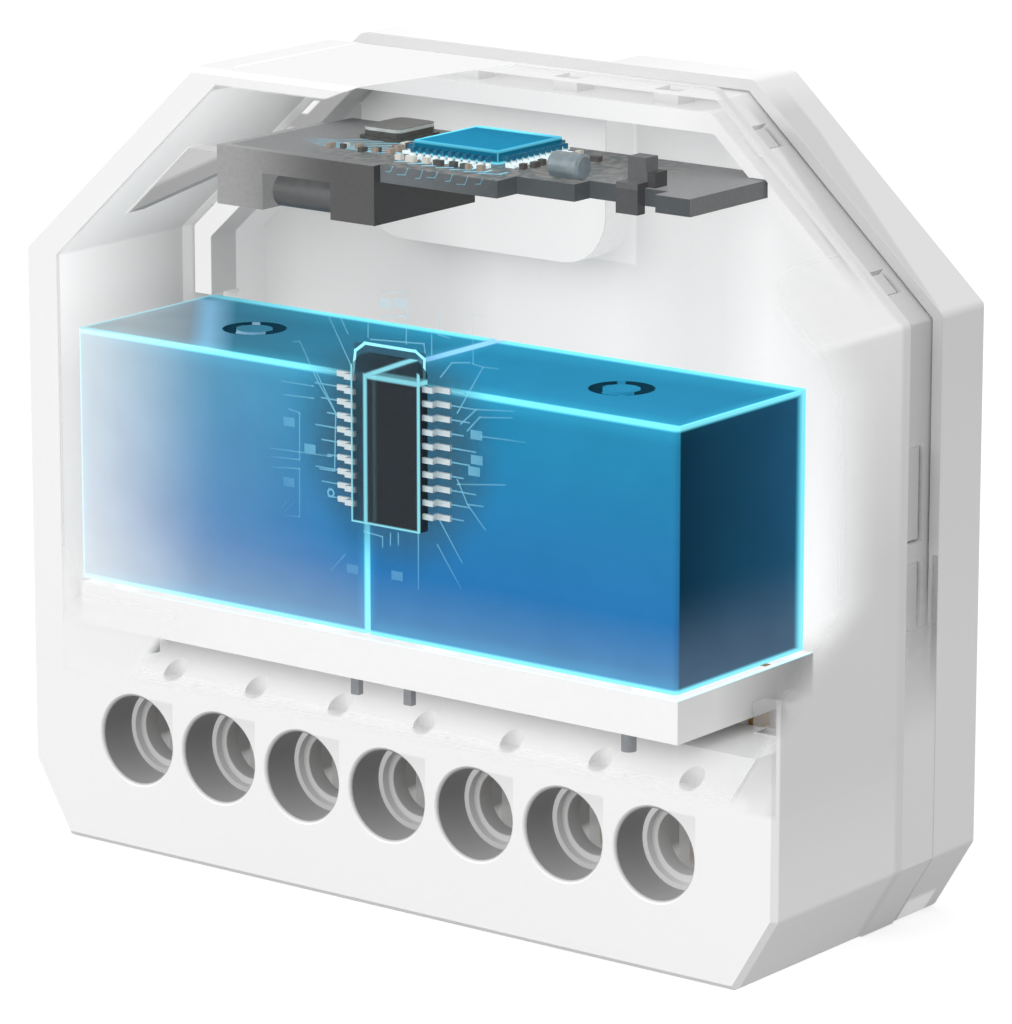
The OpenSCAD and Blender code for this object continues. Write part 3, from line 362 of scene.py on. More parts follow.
# Painted light: a glow for light through the thin back wall, most at both ends, and through the skirt's
# front edge
back_glow = add(t, "Math", [add(t, "MapRange", [x, -17.0, -10.5, 0.17, 0.01]),
                            add(t, "MapRange", [x, 8.0, 12.5, 0, 0.17])], operation="ADD")
back_mid = add(t, "Math", [add(t, "MapRange", [x, -8.0, -5.0, 0, 0.1]),
                           add(t, "MapRange", [x, 2.0, 6.0, 1, 0])], operation="MULTIPLY")
back_high = add(t, "Math", [add(t, "MapRange", [z, 32.0, 34.5, 0, 0.1]),
                            add(t, "MapRange", [x, -9.0, -6.0, 0, 1])], operation="MULTIPLY")
back_mid = add(t, "Math", [back_mid, back_high], operation="MAXIMUM")
back_glow = add(t, "Math", [back_glow, back_mid], operation="ADD")
back_glow = add(t, "Math", [back_glow, indoors, add(t, "MapRange", [y, 4.55, 4.6, 0, 1]),
                            add(t, "MapRange", [z, 36.0, 36.2, 1, 0]),
                            add(t, "MapRange", [under_slope(-1), 1.4, 1.6, 0, 1]),
                            add(t, "MapRange", [x, 20.0, 20.2, 1, 0])], operation="MULTIPLY")
# Painted light on the sides of the raised pad and the wall round them, which would lie in shade
pad_mid, pad_half, pad_low = -4.25, 7.15, 28.2
pad_side = add(t, "Math", [x, pad_mid], operation="SUBTRACT")
pad_side = add(t, "Math", [pad_side], operation="ABSOLUTE")
pad_side = add(t, "Math", [add(t, "MapRange", [pad_side, pad_half + 0.1, pad_half + 0.3, 0.2, 0]),
                           add(t, "MapRange", [z, pad_low - 0.3, pad_low - 0.1, 0, 1]),
                           add(t, "MapRange", [y, 4.62, 4.7, 0, 1]), indoors], operation="MULTIPLY")
back_glow = add(t, "Math", [back_glow, pad_side], operation="MAXIMUM")
skirt_glow = add(t, "Math", [add(t, "MapRange", [y, skirt_front, skirt_front + 0.04, 0.3, 0]),
                             add(t, "MapRange", [x, -12.0, -10.0, 1, 0]),
                             add(t, "Math", [1.0, edge_dark], operation="SUBTRACT")], operation="MULTIPLY")
# Painted light: the thin skirt under the roof glows a little in the middle, as if lit from above
off_middle = add(t, "Math", [x], operation="ABSOLUTE")
roof_glow = add(t, "Math", [add(t, "MapRange", [z, 34.3, 35.0, 0, 0.1]),
                            add(t, "MapRange", [z, 36.9, 37.1, 1, 0]),
                            add(t, "MapRange", [off_middle, 8.0, 11.0, 1, 0]), indoors],
                operation="MULTIPLY")
skirt_glow = add(t, "Math", [skirt_glow, roof_glow], operation="MAXIMUM")
give("Emission Color", (1, 1, 1, 1))
give("Emission Strength", add(t, "Math", [back_glow, skirt_glow], operation="MAXIMUM"))
wear("rear_cover", cover_abs)


# Terminal block: white PBT moulding behind the front plate, with a stepped guide and an arched chamber per
# wire and a sloped top. It stands on the floor of the housing and carries the power board.
block_pbt, t, shader, point = begin("white_pbt_block", roughness=0.5)
grain = moulded_grain(0.12)
x, y, z = add(t, "SeparateXYZ", [point]).node.outputs
block_tone_and_shade = add(t, "Mix", [grain, "f0f0f0", "f5f5f5"], data_type="RGBA")
# Round the wire guides the block lies in the shade of the holes: two grey rings, and darker down the guide
off_axis = from_hole()[-1]
ring_tone = add(t, "Mix", [add(t, "MapRange", [off_axis, 1.53, 1.56, 0, 1]), "a8a8a8", "c6c6c6"],
                data_type="RGBA")
ring_tone = add(t, "Mix", [add(t, "MapRange", [off_axis, 1.8, 1.83, 0, 1]), ring_tone, "bababa"],
                data_type="RGBA")
in_guide = add(t, "MapRange", [off_axis, 2.12, 2.2, 1, 0])
block_tone_and_shade = add(t, "Mix", [in_guide, block_tone_and_shade, ring_tone], data_type="RGBA")
# Painted shade: greyer towards the block's right end
block_tone_and_shade = add(t, "Mix", [add(t, "MapRange", [x, 10.0, 19.0, 0, 1]), block_tone_and_shade, "d6d6d6"],
                 data_type="RGBA")
give("Base Color", block_tone_and_shade)
# Painted light: a glow on the foot of the slope, for light thrown up by the front plate
give("Emission Color", (1, 1, 1, 1))
thrown = add(t, "Math", [add(t, "MapRange", [z, 7.3, 8.1, 0.09, 0]),
                         add(t, "MapRange", [off_axis, 2.2, 2.3, 0, 1])], operation="MULTIPLY")
give("Emission Strength", thrown)
# The shoulder beside the board's right end is drawn clear, as the case is
shoulder_x, slope_top = 14.9, 9.3
shoulder = add(t, "Math", [add(t, "MapRange", [x, shoulder_x, shoulder_x + 0.03, 0, 1]),
                           add(t, "MapRange", [z, slope_top, slope_top + 0.1, 0, 1])],
               operation="MULTIPLY")
give("Alpha", add(t, "MapRange", [shoulder, 0, 1, 1, 0.2]))
wear("terminal_block", block_pbt)


# Terminal screws and clamp cages: zinc-plated steel screws under the case and stamped, nickel-plated cages
# that climb them. Turned screws keep fine rings, stamped cages a fine straight grain.
for name, code, rough in (("terminal_screw", "c9cacb", 0.3), ("clamp_cage", "b9bab8", 0.35)):
    plated, t, shader, point = begin(name + "_plated_steel", roughness=rough, metallic=1.0)
    squeezed = add(t, "VectorMath", [point, (1.5, 1.5, 14.0)], operation="MULTIPLY")
    turned = add(t, "TexNoise", {"Vector": squeezed, "Scale": 1.0, "Detail": 3.0})
    give("Normal", add(t, "Bump", {"Strength": 0.15, "Distance": 0.00001, "Height": turned}))
    give("Roughness", add(t, "MapRange", [turned, 0.3, 0.7, rough - 0.06, rough + 0.08]))
    give("Base Color", lin(code))
    if name == "clamp_cage":
        # Painted light: a faint glow for daylight from the wire hole
        give("Emission Color", (1, 1, 1, 1))
        give("Emission Strength", 0.17)
    for i in range(1, n_holes + 1):
        wear(f"{name}_{i}", plated)


# Contact bars and the relays' spring parts: half-hard brass and bronze strip,
# stamped, bent and a little dulled.
springs = [f"{stem}_{side}" for stem in ("contact_arm", "fixed_contact") for side in ("left", "right")]
for name, code, on in (("stamped_brass_bar", "c49a52", ["contact_bars"]),
                       ("spring_bronze", "c08a58", springs)):
    strip, t, shader, point = begin(name, roughness=0.32, metallic=1.0)
    tarnish = add(t, "TexNoise", {"Vector": point, "Scale": 1 / 0.8, "Detail": 3.0})
    give("Roughness", add(t, "MapRange", [tarnish, 0.3, 0.7, 0.25, 0.45]))
    dulled = add(t, "MapRange", [tarnish, 0.3, 0.7, 0.85, 1.05])
    give("Base Color", add(t, "HueSaturation", {"Value": dulled, "Color": lin(code)}))
    for piece in on:
        wear(piece, strip)


# Power board: thick glass-epoxy board under white solder mask, which lies on the terminal block and
# carries the relays.
board_mask, t, shader, point = begin("white_solder_mask", roughness=0.35)
ripple = add(t, "TexNoise", {"Vector": point, "Scale": 1 / 0.6, "Detail": 2.0})
give("Normal", add(t, "Bump", {"Strength": 0.1, "Distance": 0.00001, "Height": ripple}))
mask_tone_and_shade = add(t, "Mix", [ripple, "f7f7f7", "fcfcfc"], data_type="RGBA")
# Its sawn right end is painted in shade: greyer, and more so towards the back
x, y, z = add(t, "SeparateXYZ", [point]).node.outputs
edge_shade = add(t, "Mix", [add(t, "MapRange", [y, -3.0, 3.5, 0, 1]), "eaeaea", "969696"], data_type="RGBA")
mask_tone_and_shade = add(t, "Mix", [add(t, "MapRange", [x, 14.76, 14.79, 0, 1]), mask_tone_and_shade, edge_shade], data_type="RGBA")
give("Base Color", mask_tone_and_shade)
# Painted light: a cyan glow on the mask close to the relays' lit lower edges, as if they shone on it
board_top = 11.94
spill, spill_tone = (-19.0, -8.0, 0, 0.55), "5fe4fb"
strip = add(t, "Math", [add(t, "MapRange", [y, -5.95, -5.9, 1, 0]),
                        add(t, "MapRange", [x, 14.6, 14.65, 0, 1])], operation="MAXIMUM")
shine = add(t, "Math", [add(t, "MapRange", [z, board_top - 0.04, board_top - 0.02, 0, 1]),
                        add(t, "MapRange", [x, *spill])], operation="MULTIPLY")
give("Emission Color", lin(spill_tone))
give("Emission Strength", add(t, "Math", [shine, strip], operation="MULTIPLY"))
wear("power_board", board_mask)


# Relay cases: two thin-walled covers moulded in blue polycarbonate, end to end on the power board. Each
# has lit edges, and the left one fades to white at its far end, as the ghosted view shows it.
relay_z0, relay_z1 = 12.19, 24.24
relay_y0, relay_y1 = -5.97, 3.98
for side, x0, x1 in (("left", -20.1, -2.75), ("right", -2.65, 14.7)):
    blue, t, shader, point = begin(f"blue_polycarbonate_{side}", roughness=0.3, ior=1.58)
    x, y, z = add(t, "SeparateXYZ", [point]).node.outputs
    # Distance of the surface from each of the box's six planes
    plane = {"left": add(t, "Math", [x, x0], operation="SUBTRACT"),
             "right": add(t, "Math", [x1, x], operation="SUBTRACT"),
             "front": add(t, "Math", [y, relay_y0], operation="SUBTRACT"),
             "back": add(t, "Math", [relay_y1, y], operation="SUBTRACT"),
             "low": add(t, "Math", [z, relay_z0], operation="SUBTRACT"),
             "top": add(t, "Math", [relay_z1, z], operation="SUBTRACT")}
    edges = [(a, b) for a in ("front", "back") for b in ("left", "right", "low", "top")]
    edges += [(a, b) for a in ("left", "right") for b in ("low", "top")]
    # Where the two cases meet only the front and roof lines are lit; the right case's front upright isn't
    joint = "left" if side == "right" else "right"
    edges = [pair for pair in edges if joint not in pair]
    if side == "right":
        edges.remove(("front", "right"))
    # Depths are seen foreshortened, so a line runs wider along them, most at the back
    wide = {"front": add(t, "Math", [plane["front"], 0.5], operation="MULTIPLY"),
            "back": add(t, "Math", [plane["back"], 0.3], operation="MULTIPLY")}
    near = None
    for a, b in edges:
        edge = add(t, "Math", [wide.get(a, plane[a]), wide.get(b, plane[b])], operation="MAXIMUM")
        near = edge if near is None else add(t, "Math", [near, edge], operation="MINIMUM")
    seam = add(t, "Math", [plane[joint], 1.6], operation="MULTIPLY")
    seam = add(t, "Math", [seam, wide["front"]], operation="MAXIMUM")
    roof_seam = add(t, "Math", [plane[joint], 0.7], operation="MULTIPLY")
    roof_seam = add(t, "Math", [roof_seam, plane["top"]], operation="MAXIMUM")
    near = add(t, "Math", [near, seam, roof_seam], operation="MINIMUM")
    end_on = add(t, "MapRange", [plane["right" if side == "right" else "left"], 0.0, 0.02, 1, 0])
    line = add(t, "MapRange", [near, 0.1, 0.3, 0.92, 0], **soft)
    halo = add(t, "Math", [add(t, "MapRange", [near, 0.0, 1.1, 0.12, 0],
                               interpolation_type="SMOOTHERSTEP"),
                           add(t, "MapRange", [end_on, 0, 1, 1, 0.1])], operation="MULTIPLY")
    lit = add(t, "Math", [line, halo], operation="MAXIMUM")
    # Blue of the case with painted shade: the front darker and bluer low down, the roof greener, the ends
    # deep navy
    front_mix = add(t, "MapRange", [z, relay_z0 + 2.0, relay_z1 - 1.0, 0, 1])
    body = add(t, "Mix", [front_mix, "2f78bb", "2c90bb"], data_type="RGBA")
    # Painted light: the front is pale at its foot, as if lit by the board
    body = add(t, "Mix", [add(t, "MapRange", [z, relay_z0 + 0.5, relay_z0 + 3.2, 1, 0]), body, "5c92c2"],
               data_type="RGBA")
    roof_on = add(t, "MapRange", [plane["top"], 0.0, 0.02, 1, 0])
    body = add(t, "Mix", [roof_on, body, "2f8fb8"], data_type="RGBA")
    # Painted light: the navy ends are paler at their feet
    end_mix = add(t, "MapRange", [z, relay_z0, relay_z0 + 5.0, 1, 0], **soft)
    end = add(t, "Mix", [add(t, "MapRange", [y, relay_y0, relay_y1, 0, 1]), "123a50", "285f84"],
              data_type="RGBA")
    end = add(t, "Mix", [end_mix, end, "5a7590"], data_type="RGBA")
    body = add(t, "Mix", [end_on, body, end], data_type="RGBA")
    if side == "left":
        pale = add(t, "Math", [add(t, "MapRange", [x, x0 - 2.5, x0 + 9.2, 0.74, 0.0], **soft),
                               add(t, "MapRange", [x, x0 + 5.0, x0 + 17.0, 0.14, 0.0])], operation="ADD")
        pale = add(t, "Math", [pale, add(t, "MapRange", [z, relay_z0 + 1.0, relay_z0 + 4.5, 0.08, 0.0])],
                   operation="ADD")
        body = add(t, "Mix", [pale, body, "f2f8fb"], data_type="RGBA")
        # Its roof is grey at the far corner, pale where the white skirt behind it shows, then teal
        skew = 0.81
        sweep = add(t, "Math", [y, skew, x], operation="MULTIPLY_ADD")
        sweep = add(t, "Math", [sweep, x0 + skew * relay_y1], operation="SUBTRACT")
        roof_tone = add(t, "Mix", [add(t, "MapRange", [sweep, 0.5, 13.0, 0, 1]), "3f7890", "308bb1"],
                        data_type="RGBA")
        roof_tone = add(t, "Mix", [add(t, "MapRange", [sweep, 0.0, 1.5, 1, 0]), roof_tone, "7fb2d2"],
                        data_type="RGBA")
        far_tone = add(t, "Mix", [add(t, "MapRange", [sweep, -5.0, -0.8, 0, 1]), "a4b0b6", "7f929e"],
                       data_type="RGBA")
        roof_tone = add(t, "Mix", [add(t, "MapRange", [sweep, -1.3, -0.3, 1, 0]), roof_tone, far_tone],
                        data_type="RGBA")
        body = add(t, "Mix", [roof_on, body, roof_tone], data_type="RGBA")
        lit = add(t, "Math", [lit, add(t, "MapRange", [x, x0, x0 + 7.0, 0.45, 1.0])], operation="MULTIPLY")
    # The vent is a ring groove painted dark in two arcs of shade, open at two opposite places
    vent_x = x0 + 6.7 if side == "left" else x1 - 6.7
    from_vent = add(t, "VectorMath", [point, (vent_x, (relay_y0 + relay_y1) / 2, relay_z1)],
                    operation="SUBTRACT")
    reach = add(t, "VectorMath", [from_vent, (0, 0, 0)], operation="DISTANCE")
    vent = add(t, "Math", [add(t, "MapRange", [reach, 0.88, 0.94, 0, 1]),
                           add(t, "MapRange", [reach, 1.48, 1.55, 1, 0])], operation="MULTIPLY")
    gap = add(t, "VectorMath", [from_vent, (0.8, 0.6, 0)], operation="DOT_PRODUCT")
    gap = add(t, "Math", [gap], operation="ABSOLUTE")
    vent = add(t, "Math", [vent, add(t, "MapRange", [gap, 0.15, 0.22, 0, 1]),
                           add(t, "MapRange", [plane["top"], 0.5, 0.6, 1, 0])], operation="MULTIPLY")
    body = add(t, "Mix", [vent, body, "12384a"], data_type="RGBA")
    haze = add(t, "TexNoise", {"Vector": point, "Scale": 1 / 3.0, "Detail": 2.0})
    clouded = add(t, "MapRange", [haze, 0.3, 0.7, 0.96, 1.04])
    give("Base Color", add(t, "HueSaturation", {"Value": clouded, "Color": body}))
    give("Roughness", add(t, "MapRange", [haze, 0.3, 0.7, 0.26, 0.36]))
    # The line's core is nearly white, its halo a deeper cyan, and over the joint's roof it is pale blue
    glow = add(t, "Mix", [line, "4fdcf8", "8cf2fa"], data_type="RGBA")
    glow = add(t, "Mix", [add(t, "MapRange", [roof_seam, 0.25, 0.35, 1, 0]), glow, "9cccf6"],
               data_type="RGBA")
    give("Emission Color", glow)
    give("Specular IOR Level", 0.0)
    give("Emission Strength", lit)
    wear(f"relay_case_{side}", blue)


# Relay works: glass-filled base plates, nickel-plated soft iron, ivory bobbins and enamelled copper
# windings, put together inside each case; tinned pins go down through the power board.
works = (("glass_filled_base", "3a3f45", 0.55, 0.0, "relay_base"),
         ("nickel_plated_iron", "8f9296", 0.35, 1.0, "relay_yoke"),
         ("nickel_plated_clapper", "8a8d91", 0.35, 1.0, "relay_armature"),
         ("ivory_bobbin", "e4dcc4", 0.45, 0.0, "relay_bobbin"),
         ("tinned_pin", "96999d", 0.4, 0.4, "relay_pins"))
for name, code, rough, metal, stem in works:
    finish, t, shader, point = begin(name, roughness=rough, metallic=metal)
    fleck = add(t, "TexNoise", {"Vector": point, "Scale": 1 / 0.3, "Detail": 3.0})
    give("Roughness", add(t, "MapRange", [fleck, 0.3, 0.7, rough - 0.07, rough + 0.07]))
    tone = lin(code)
    if stem == "relay_base":
        # Painted light: its low feet are painted as white as the board and glow, as in the light of the
        # case's lower edge
        x, y, z = add(t, "SeparateXYZ", [point]).node.outputs
        at_feet = add(t, "MapRange", [z, relay_z0 - 0.01, relay_z0 + 0.01, 1, 0])
        tone = add(t, "Mix", [at_feet, tone, "fcfcfc"], data_type="RGBA")
        give("Emission Color", lin(spill_tone))
        give("Emission Strength", add(t, "Math", [at_feet, add(t, "MapRange", [x, *spill])],
                                      operation="MULTIPLY"))
    flecked = add(t, "MapRange", [fleck, 0.3, 0.7, 0.93, 1.05])
    give("Base Color", add(t, "HueSaturation", {"Value": flecked, "Color": tone}))
    for side in ("left", "right"):
        wear(f"{stem}_{side}", finish)

# The winding shows rings of wire 0.12 mm apart, drawn twice as coarse so that they can be seen
wire_pitch = 0.24
winding, t, shader, point = begin("enamelled_copper_winding", roughness=0.35, metallic=1.0)
turns = add(t, "TexWave", {"Vector": point, "Scale": 0.314 / wire_pitch, "Distortion": 0.6},
            wave_type="BANDS", bands_direction="Z")
give("Normal", add(t, "Bump", {"Strength": 0.4, "Distance": 0.00005, "Height": turns}))
give("Base Color", add(t, "Mix", [turns, "7c3d1e", "b8653a"], data_type="RGBA"))
for side in ("left", "right"):
    wear(f"relay_coil_{side}", winding)


# Flexible circuit: clear polyimide film on the front of the relays, bonded round the metering chip, with a
# tail that folds back over the radio board. The film itself is hardly seen; its printed tracks are lit
# near the chip.
film_pi, t, shader, point = begin("clear_film", roughness=0.2)
chip_x, chip_z = -0.9, 21.54
sheen = add(t, "TexNoise", {"Vector": point, "Scale": 1 / 1.2, "Detail": 3.0})
away = add(t, "VectorMath", [point, (chip_x, 0, chip_z)], operation="SUBTRACT")
away = add(t, "VectorMath", [add(t, "VectorMath", [away, (1, 0, 0.95)], operation="MULTIPLY"), (0, 0, 0)],
           operation="DISTANCE")
x, y, z = add(t, "SeparateXYZ", [point]).node.outputs
# Painted shade: the film is tinted dark round the chip, fading out a few millimetres away
chip_shade_tint = add(t, "Math", [add(t, "MapRange", [away, 2.6, 6.4, 0.6, 0.0], **soft),
                       add(t, "MapRange", [z, 24.4, 26.8, 1, 0]),
                       add(t, "MapRange", [sheen, 0.25, 0.75, 0.75, 1.15])], operation="MULTIPLY")
# Over the chip a dark field is printed, as far as its outline
field = add(t, "Math", [add(t, "MapRange", [x, -3.3, -3.25, 0, 0.6]),
                        add(t, "MapRange", [x, 0.78, 0.83, 1, 0]),
                        add(t, "MapRange", [z, 23.9, 24.0, 0, 1]),
                        add(t, "MapRange", [z, 25.74, 25.8, 1, 0])], operation="MULTIPLY")
give("Alpha", add(t, "Math", [chip_shade_tint, field], operation="MAXIMUM"))
give("Base Color", lin("3a5866"))
give("Specular IOR Level", 0.1)
wear("flex_circuit", film_pi)
chip_half_w, chip_half_l = 1.95, 3.9
film_y, film_half_w, lift = -6.12, 5.95, 0.012
track_w = 0.07


def strips(name, lines, width, place, material):
    """Flat strips of one width: each bent line is cut into straight runs, and a run becomes a quad that goes
    half a width past it on all sides; place puts the flat points on their face."""
    runs = np.concatenate([np.stack([line[:-1], line[1:]], 1) for line in lines])
    along = runs[:, 1] - runs[:, 0]
    along = along * width / 2 / np.linalg.norm(along, axis=1, keepdims=True)
    side = np.column_stack([-along[:, 1], along[:, 0]])
    first, last = runs[:, 0] - along, runs[:, 1] + along
    flat = np.stack([first - side, last - side, last + side, first + side], 1).reshape(-1, 2)
    mesh = bpy.data.meshes.new(name)
    quads = np.arange(len(flat)).reshape(-1, 4)
    mesh.from_pydata((place(flat) / mm_per_m).tolist(), [], quads.tolist())
    mesh.materials.append(material)
    piece = bpy.data.objects.new(name, mesh)
    bpy.context.collection.objects.link(piece)
    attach(piece, "module")


def on_film(flat):
    """Points X, Z just off the film, or off the relays' fronts where the film ends."""
    off = np.where(np.abs(flat[:, 0] - chip_x) > film_half_w, relay_y0, film_y) - lift
    return np.column_stack([flat[:, 0], off, flat[:, 1]])


# Printed silver under clear lacquer, lit cyan: bright at the chip and gone a few millimetres away
lit_track, t, shader, point = begin("lit_silver_track", roughness=0.3)
reach = add(t, "VectorMath", [point, (chip_x, film_y, chip_z)], operation="DISTANCE")
give("Alpha", add(t, "MapRange", [reach, 3.4, 8.4, 0.5, 0.0]))
give("Base Color", lin("3a8fb0"))
give("Emission Color", lin("a4e4f4"))
give("Emission Strength", 0.7)
lit_outline, t, shader, point = begin("lit_silver_outline", roughness=0.3)
haze = add(t, "TexNoise", {"Vector": point, "Scale": 1 / 0.8, "Detail": 2.0})
give("Emission Strength", add(t, "MapRange", [haze, 0.3, 0.7, 0.85, 1.0]))
give("Base Color", lin("3a8fb0"))
give("Emission Color", lin("a0e8f2"))
outline = [(-3.3, 24.3), (-3.16, 25.39), (-2.6, 25.8), (0.3, 25.8), (0.81, 25.5), (0.8, 24.3)]
strips("printed_outline", [outline], 2 * track_w, on_film, lit_outline)
# Left of the chip: rising lines, two open frames and a long level line; right of it: fans to a header
tracks = [[(-6.8, 25.33), (-6.4, 25.39), (-5.36, 23.65), (-4.33, 22.34)],
          [(-5.49, 24.16), (-4.27, 22.24)], [(-4.68, 26.74), (-3.4, 24.64)],
          [(-4.03, 26.83), (-3.58, 26.11)], [(-7.61, 23.35), (-5.63, 23.41)],
          [(-7.48, 22.74), (-5.63, 22.84)],
          [(-7.22, 22.1), (-6.46, 22.05), (-6.48, 19.85), (-8.32, 19.71)],
          [(-8.32, 19.22), (-6.49, 19.43), (-6.51, 17.16), (-7.68, 17.04)],
          [(-4.33, 22.23), (-4.42, 19.62), (-5.27, 19.6)], [(-8.31, 20.11), (-4.61, 20.27)],
          [(-8.08, 16.88), (-7.41, 17.72)], [(-7.75, 17.03), (-6.88, 17.79)],
          [(1.73, 24.81), (2.37, 25.55), (3.38, 25.69)], [(2.68, 23.3), (4.13, 25.58), (5.0, 25.62)],
          [(5.0, 27.95), (3.57, 27.89), (3.57, 25.66), (4.13, 25.58)],
          [(2.87, 22.82), (3.75, 23.6), (5.75, 23.77)], [(3.24, 22.56), (3.94, 23.27), (5.63, 23.45)],
          [(4.0, 22.41), (6.38, 22.44)], [(2.67, 20.23), (3.24, 19.18), (4.12, 19.21)],
          [(3.24, 19.18), (4.25, 18.15)], [(2.67, 20.02), (5.25, 20.34)], [(1.58, 18.31), (2.92, 16.45)],
          [(1.52, 17.06), (2.85, 15.25)], [(0.43, 17.52), (0.42, 14.82)],
          [(-1.18, 17.17), (-1.19, 16.65)], [(-0.73, 17.24), (-0.73, 16.72)],
          [(-4.66, 14.92), (-3.86, 15.77)], [(-2.74, 17.04), (-1.64, 16.95), (-1.64, 16.48)],
          [(-1.63, 28.31), (-0.16, 28.44), (-0.23, 26.08)], [(-1.64, 27.13), (-0.16, 27.37)],
          [(-2.29, 26.02), (0.79, 26.21), (0.85, 25.81)], [(1.23, 25.76), (1.23, 26.68)],
          [(1.62, 27.69), (1.61, 26.73), (2.24, 26.66)], [(-2.42, 26.11), (-2.41, 26.72)]]
strips("printed_tracks", tracks, track_w, on_film, lit_track)
# A short stub runs out from each lead of the chip
lead_z = chip_z - chip_half_l + 0.75 + 0.65 * np.arange(10)
stubs = [[(chip_x + way * 3.25, h), (chip_x + way * (3.9 + 0.35 * (k % 3)), h)]
         for way in (-1, 1) for k, h in enumerate(lead_z)]
strips("printed_stubs", stubs, track_w, on_film, lit_track)
pads = [(-1.41, 27.79), (-0.54, 27.9), (3.75, 22.43), (3.77, 21.29), (3.62, 20.75), (-7.21, 21.5),
        (-5.86, 20.46), (-7.26, 18.66), (-0.81, 15.25), (-3.41, 15.16)]
strips("printed_pads", [[(x - 0.12, z), (x + 0.12, z)] for x, z in pads], 0.42, on_film, lit_track)
ring = np.radians(np.arange(0, 390, 30))
via = np.array([-4.65, 18.56]) + 0.17 * np.column_stack([np.cos(ring), np.sin(ring)])
strips("printed_via", [via], 0.1, on_film, lit_track)


# Metering chip: flat package moulded in dark epoxy with cut upper corners, soldered to the film by twenty
# bent leads. It is drawn slightly see-through, with a thin lit outline.
meter_y = -6.87
epoxy, t, shader, point = begin("dark_epoxy_mould", roughness=0.5)
x, y, z = add(t, "SeparateXYZ", [point]).node.outputs
across = add(t, "Math", [x, chip_x], operation="SUBTRACT")
across = add(t, "Math", [across], operation="ABSOLUTE")
across = add(t, "Math", [chip_half_w, across], operation="SUBTRACT")
above = add(t, "Math", [z, chip_z - chip_half_l], operation="SUBTRACT")
behind = add(t, "Math", [y, meter_y], operation="SUBTRACT")
near = add(t, "Math", [across, above], operation="MINIMUM")
near = add(t, "Math", [near, behind], operation="MAXIMUM")
line = add(t, "MapRange", [near, 0.05, 0.14, 0.95, 0], **soft)
# The relays' lit edges are carried on over the chip's face: one upright, one level and one rising line
seam_x, seam_z = chip_x - 1.13, chip_z + 2.96
to_seam = add(t, "Math", [x, seam_x], operation="SUBTRACT")
to_level = add(t, "Math", [z, seam_z], operation="SUBTRACT")
upright = add(t, "Math", [to_seam], operation="ABSOLUTE")
upright = add(t, "Math", [upright, to_level], operation="MAXIMUM")
past = add(t, "Math", [-1.0, to_seam], operation="MULTIPLY")
level = add(t, "Math", [to_level], operation="ABSOLUTE")
level = add(t, "Math", [level, past], operation="MAXIMUM")
rising = add(t, "Math", [to_seam, -0.4, to_level], operation="MULTIPLY_ADD")
rising = add(t, "Math", [rising], operation="ABSOLUTE")
rising = add(t, "Math", [rising, past], operation="MAXIMUM")
for other in (upright, level, rising):
    line = add(t, "Math", [line, add(t, "MapRange", [other, 0.05, 0.17, 0.9, 0], **soft)],
               operation="MAXIMUM")
give("Emission Color", lin("8fe6f5"))
give("Emission Strength", line)
fleck = add(t, "TexNoise", {"Vector": point, "Scale": 1 / 0.1, "Detail": 2.0})
give("Normal", add(t, "Bump", {"Strength": 0.15, "Distance": 0.00001, "Height": fleck}))
give("Base Color", add(t, "Mix", [fleck, "151d23", "20282e"], data_type="RGBA"))
give("Specular IOR Level", 0.2)
solid = add(t, "Math", [add(t, "MapRange", [to_seam, -0.1, 0.15, 0.42, 0.93]),
                        add(t, "MapRange", [to_level, -0.1, 0.15, 0.94, 0.62])], operation="MINIMUM")
give("Alpha", add(t, "Math", [line, solid], operation="MAXIMUM"))
wear("metering_chip", epoxy)

# Bright tin on its bent leads
tinned_lead, t, shader, point = begin("bright_tin_lead", roughness=0.35, metallic=0.6)
fleck = add(t, "TexNoise", {"Vector": point, "Scale": 1 / 0.1, "Detail": 2.0})
give("Roughness", add(t, "MapRange", [fleck, 0.3, 0.7, 0.28, 0.42]))
give("Base Color", lin("c6d2d6"))
wear("metering_leads", tinned_lead)


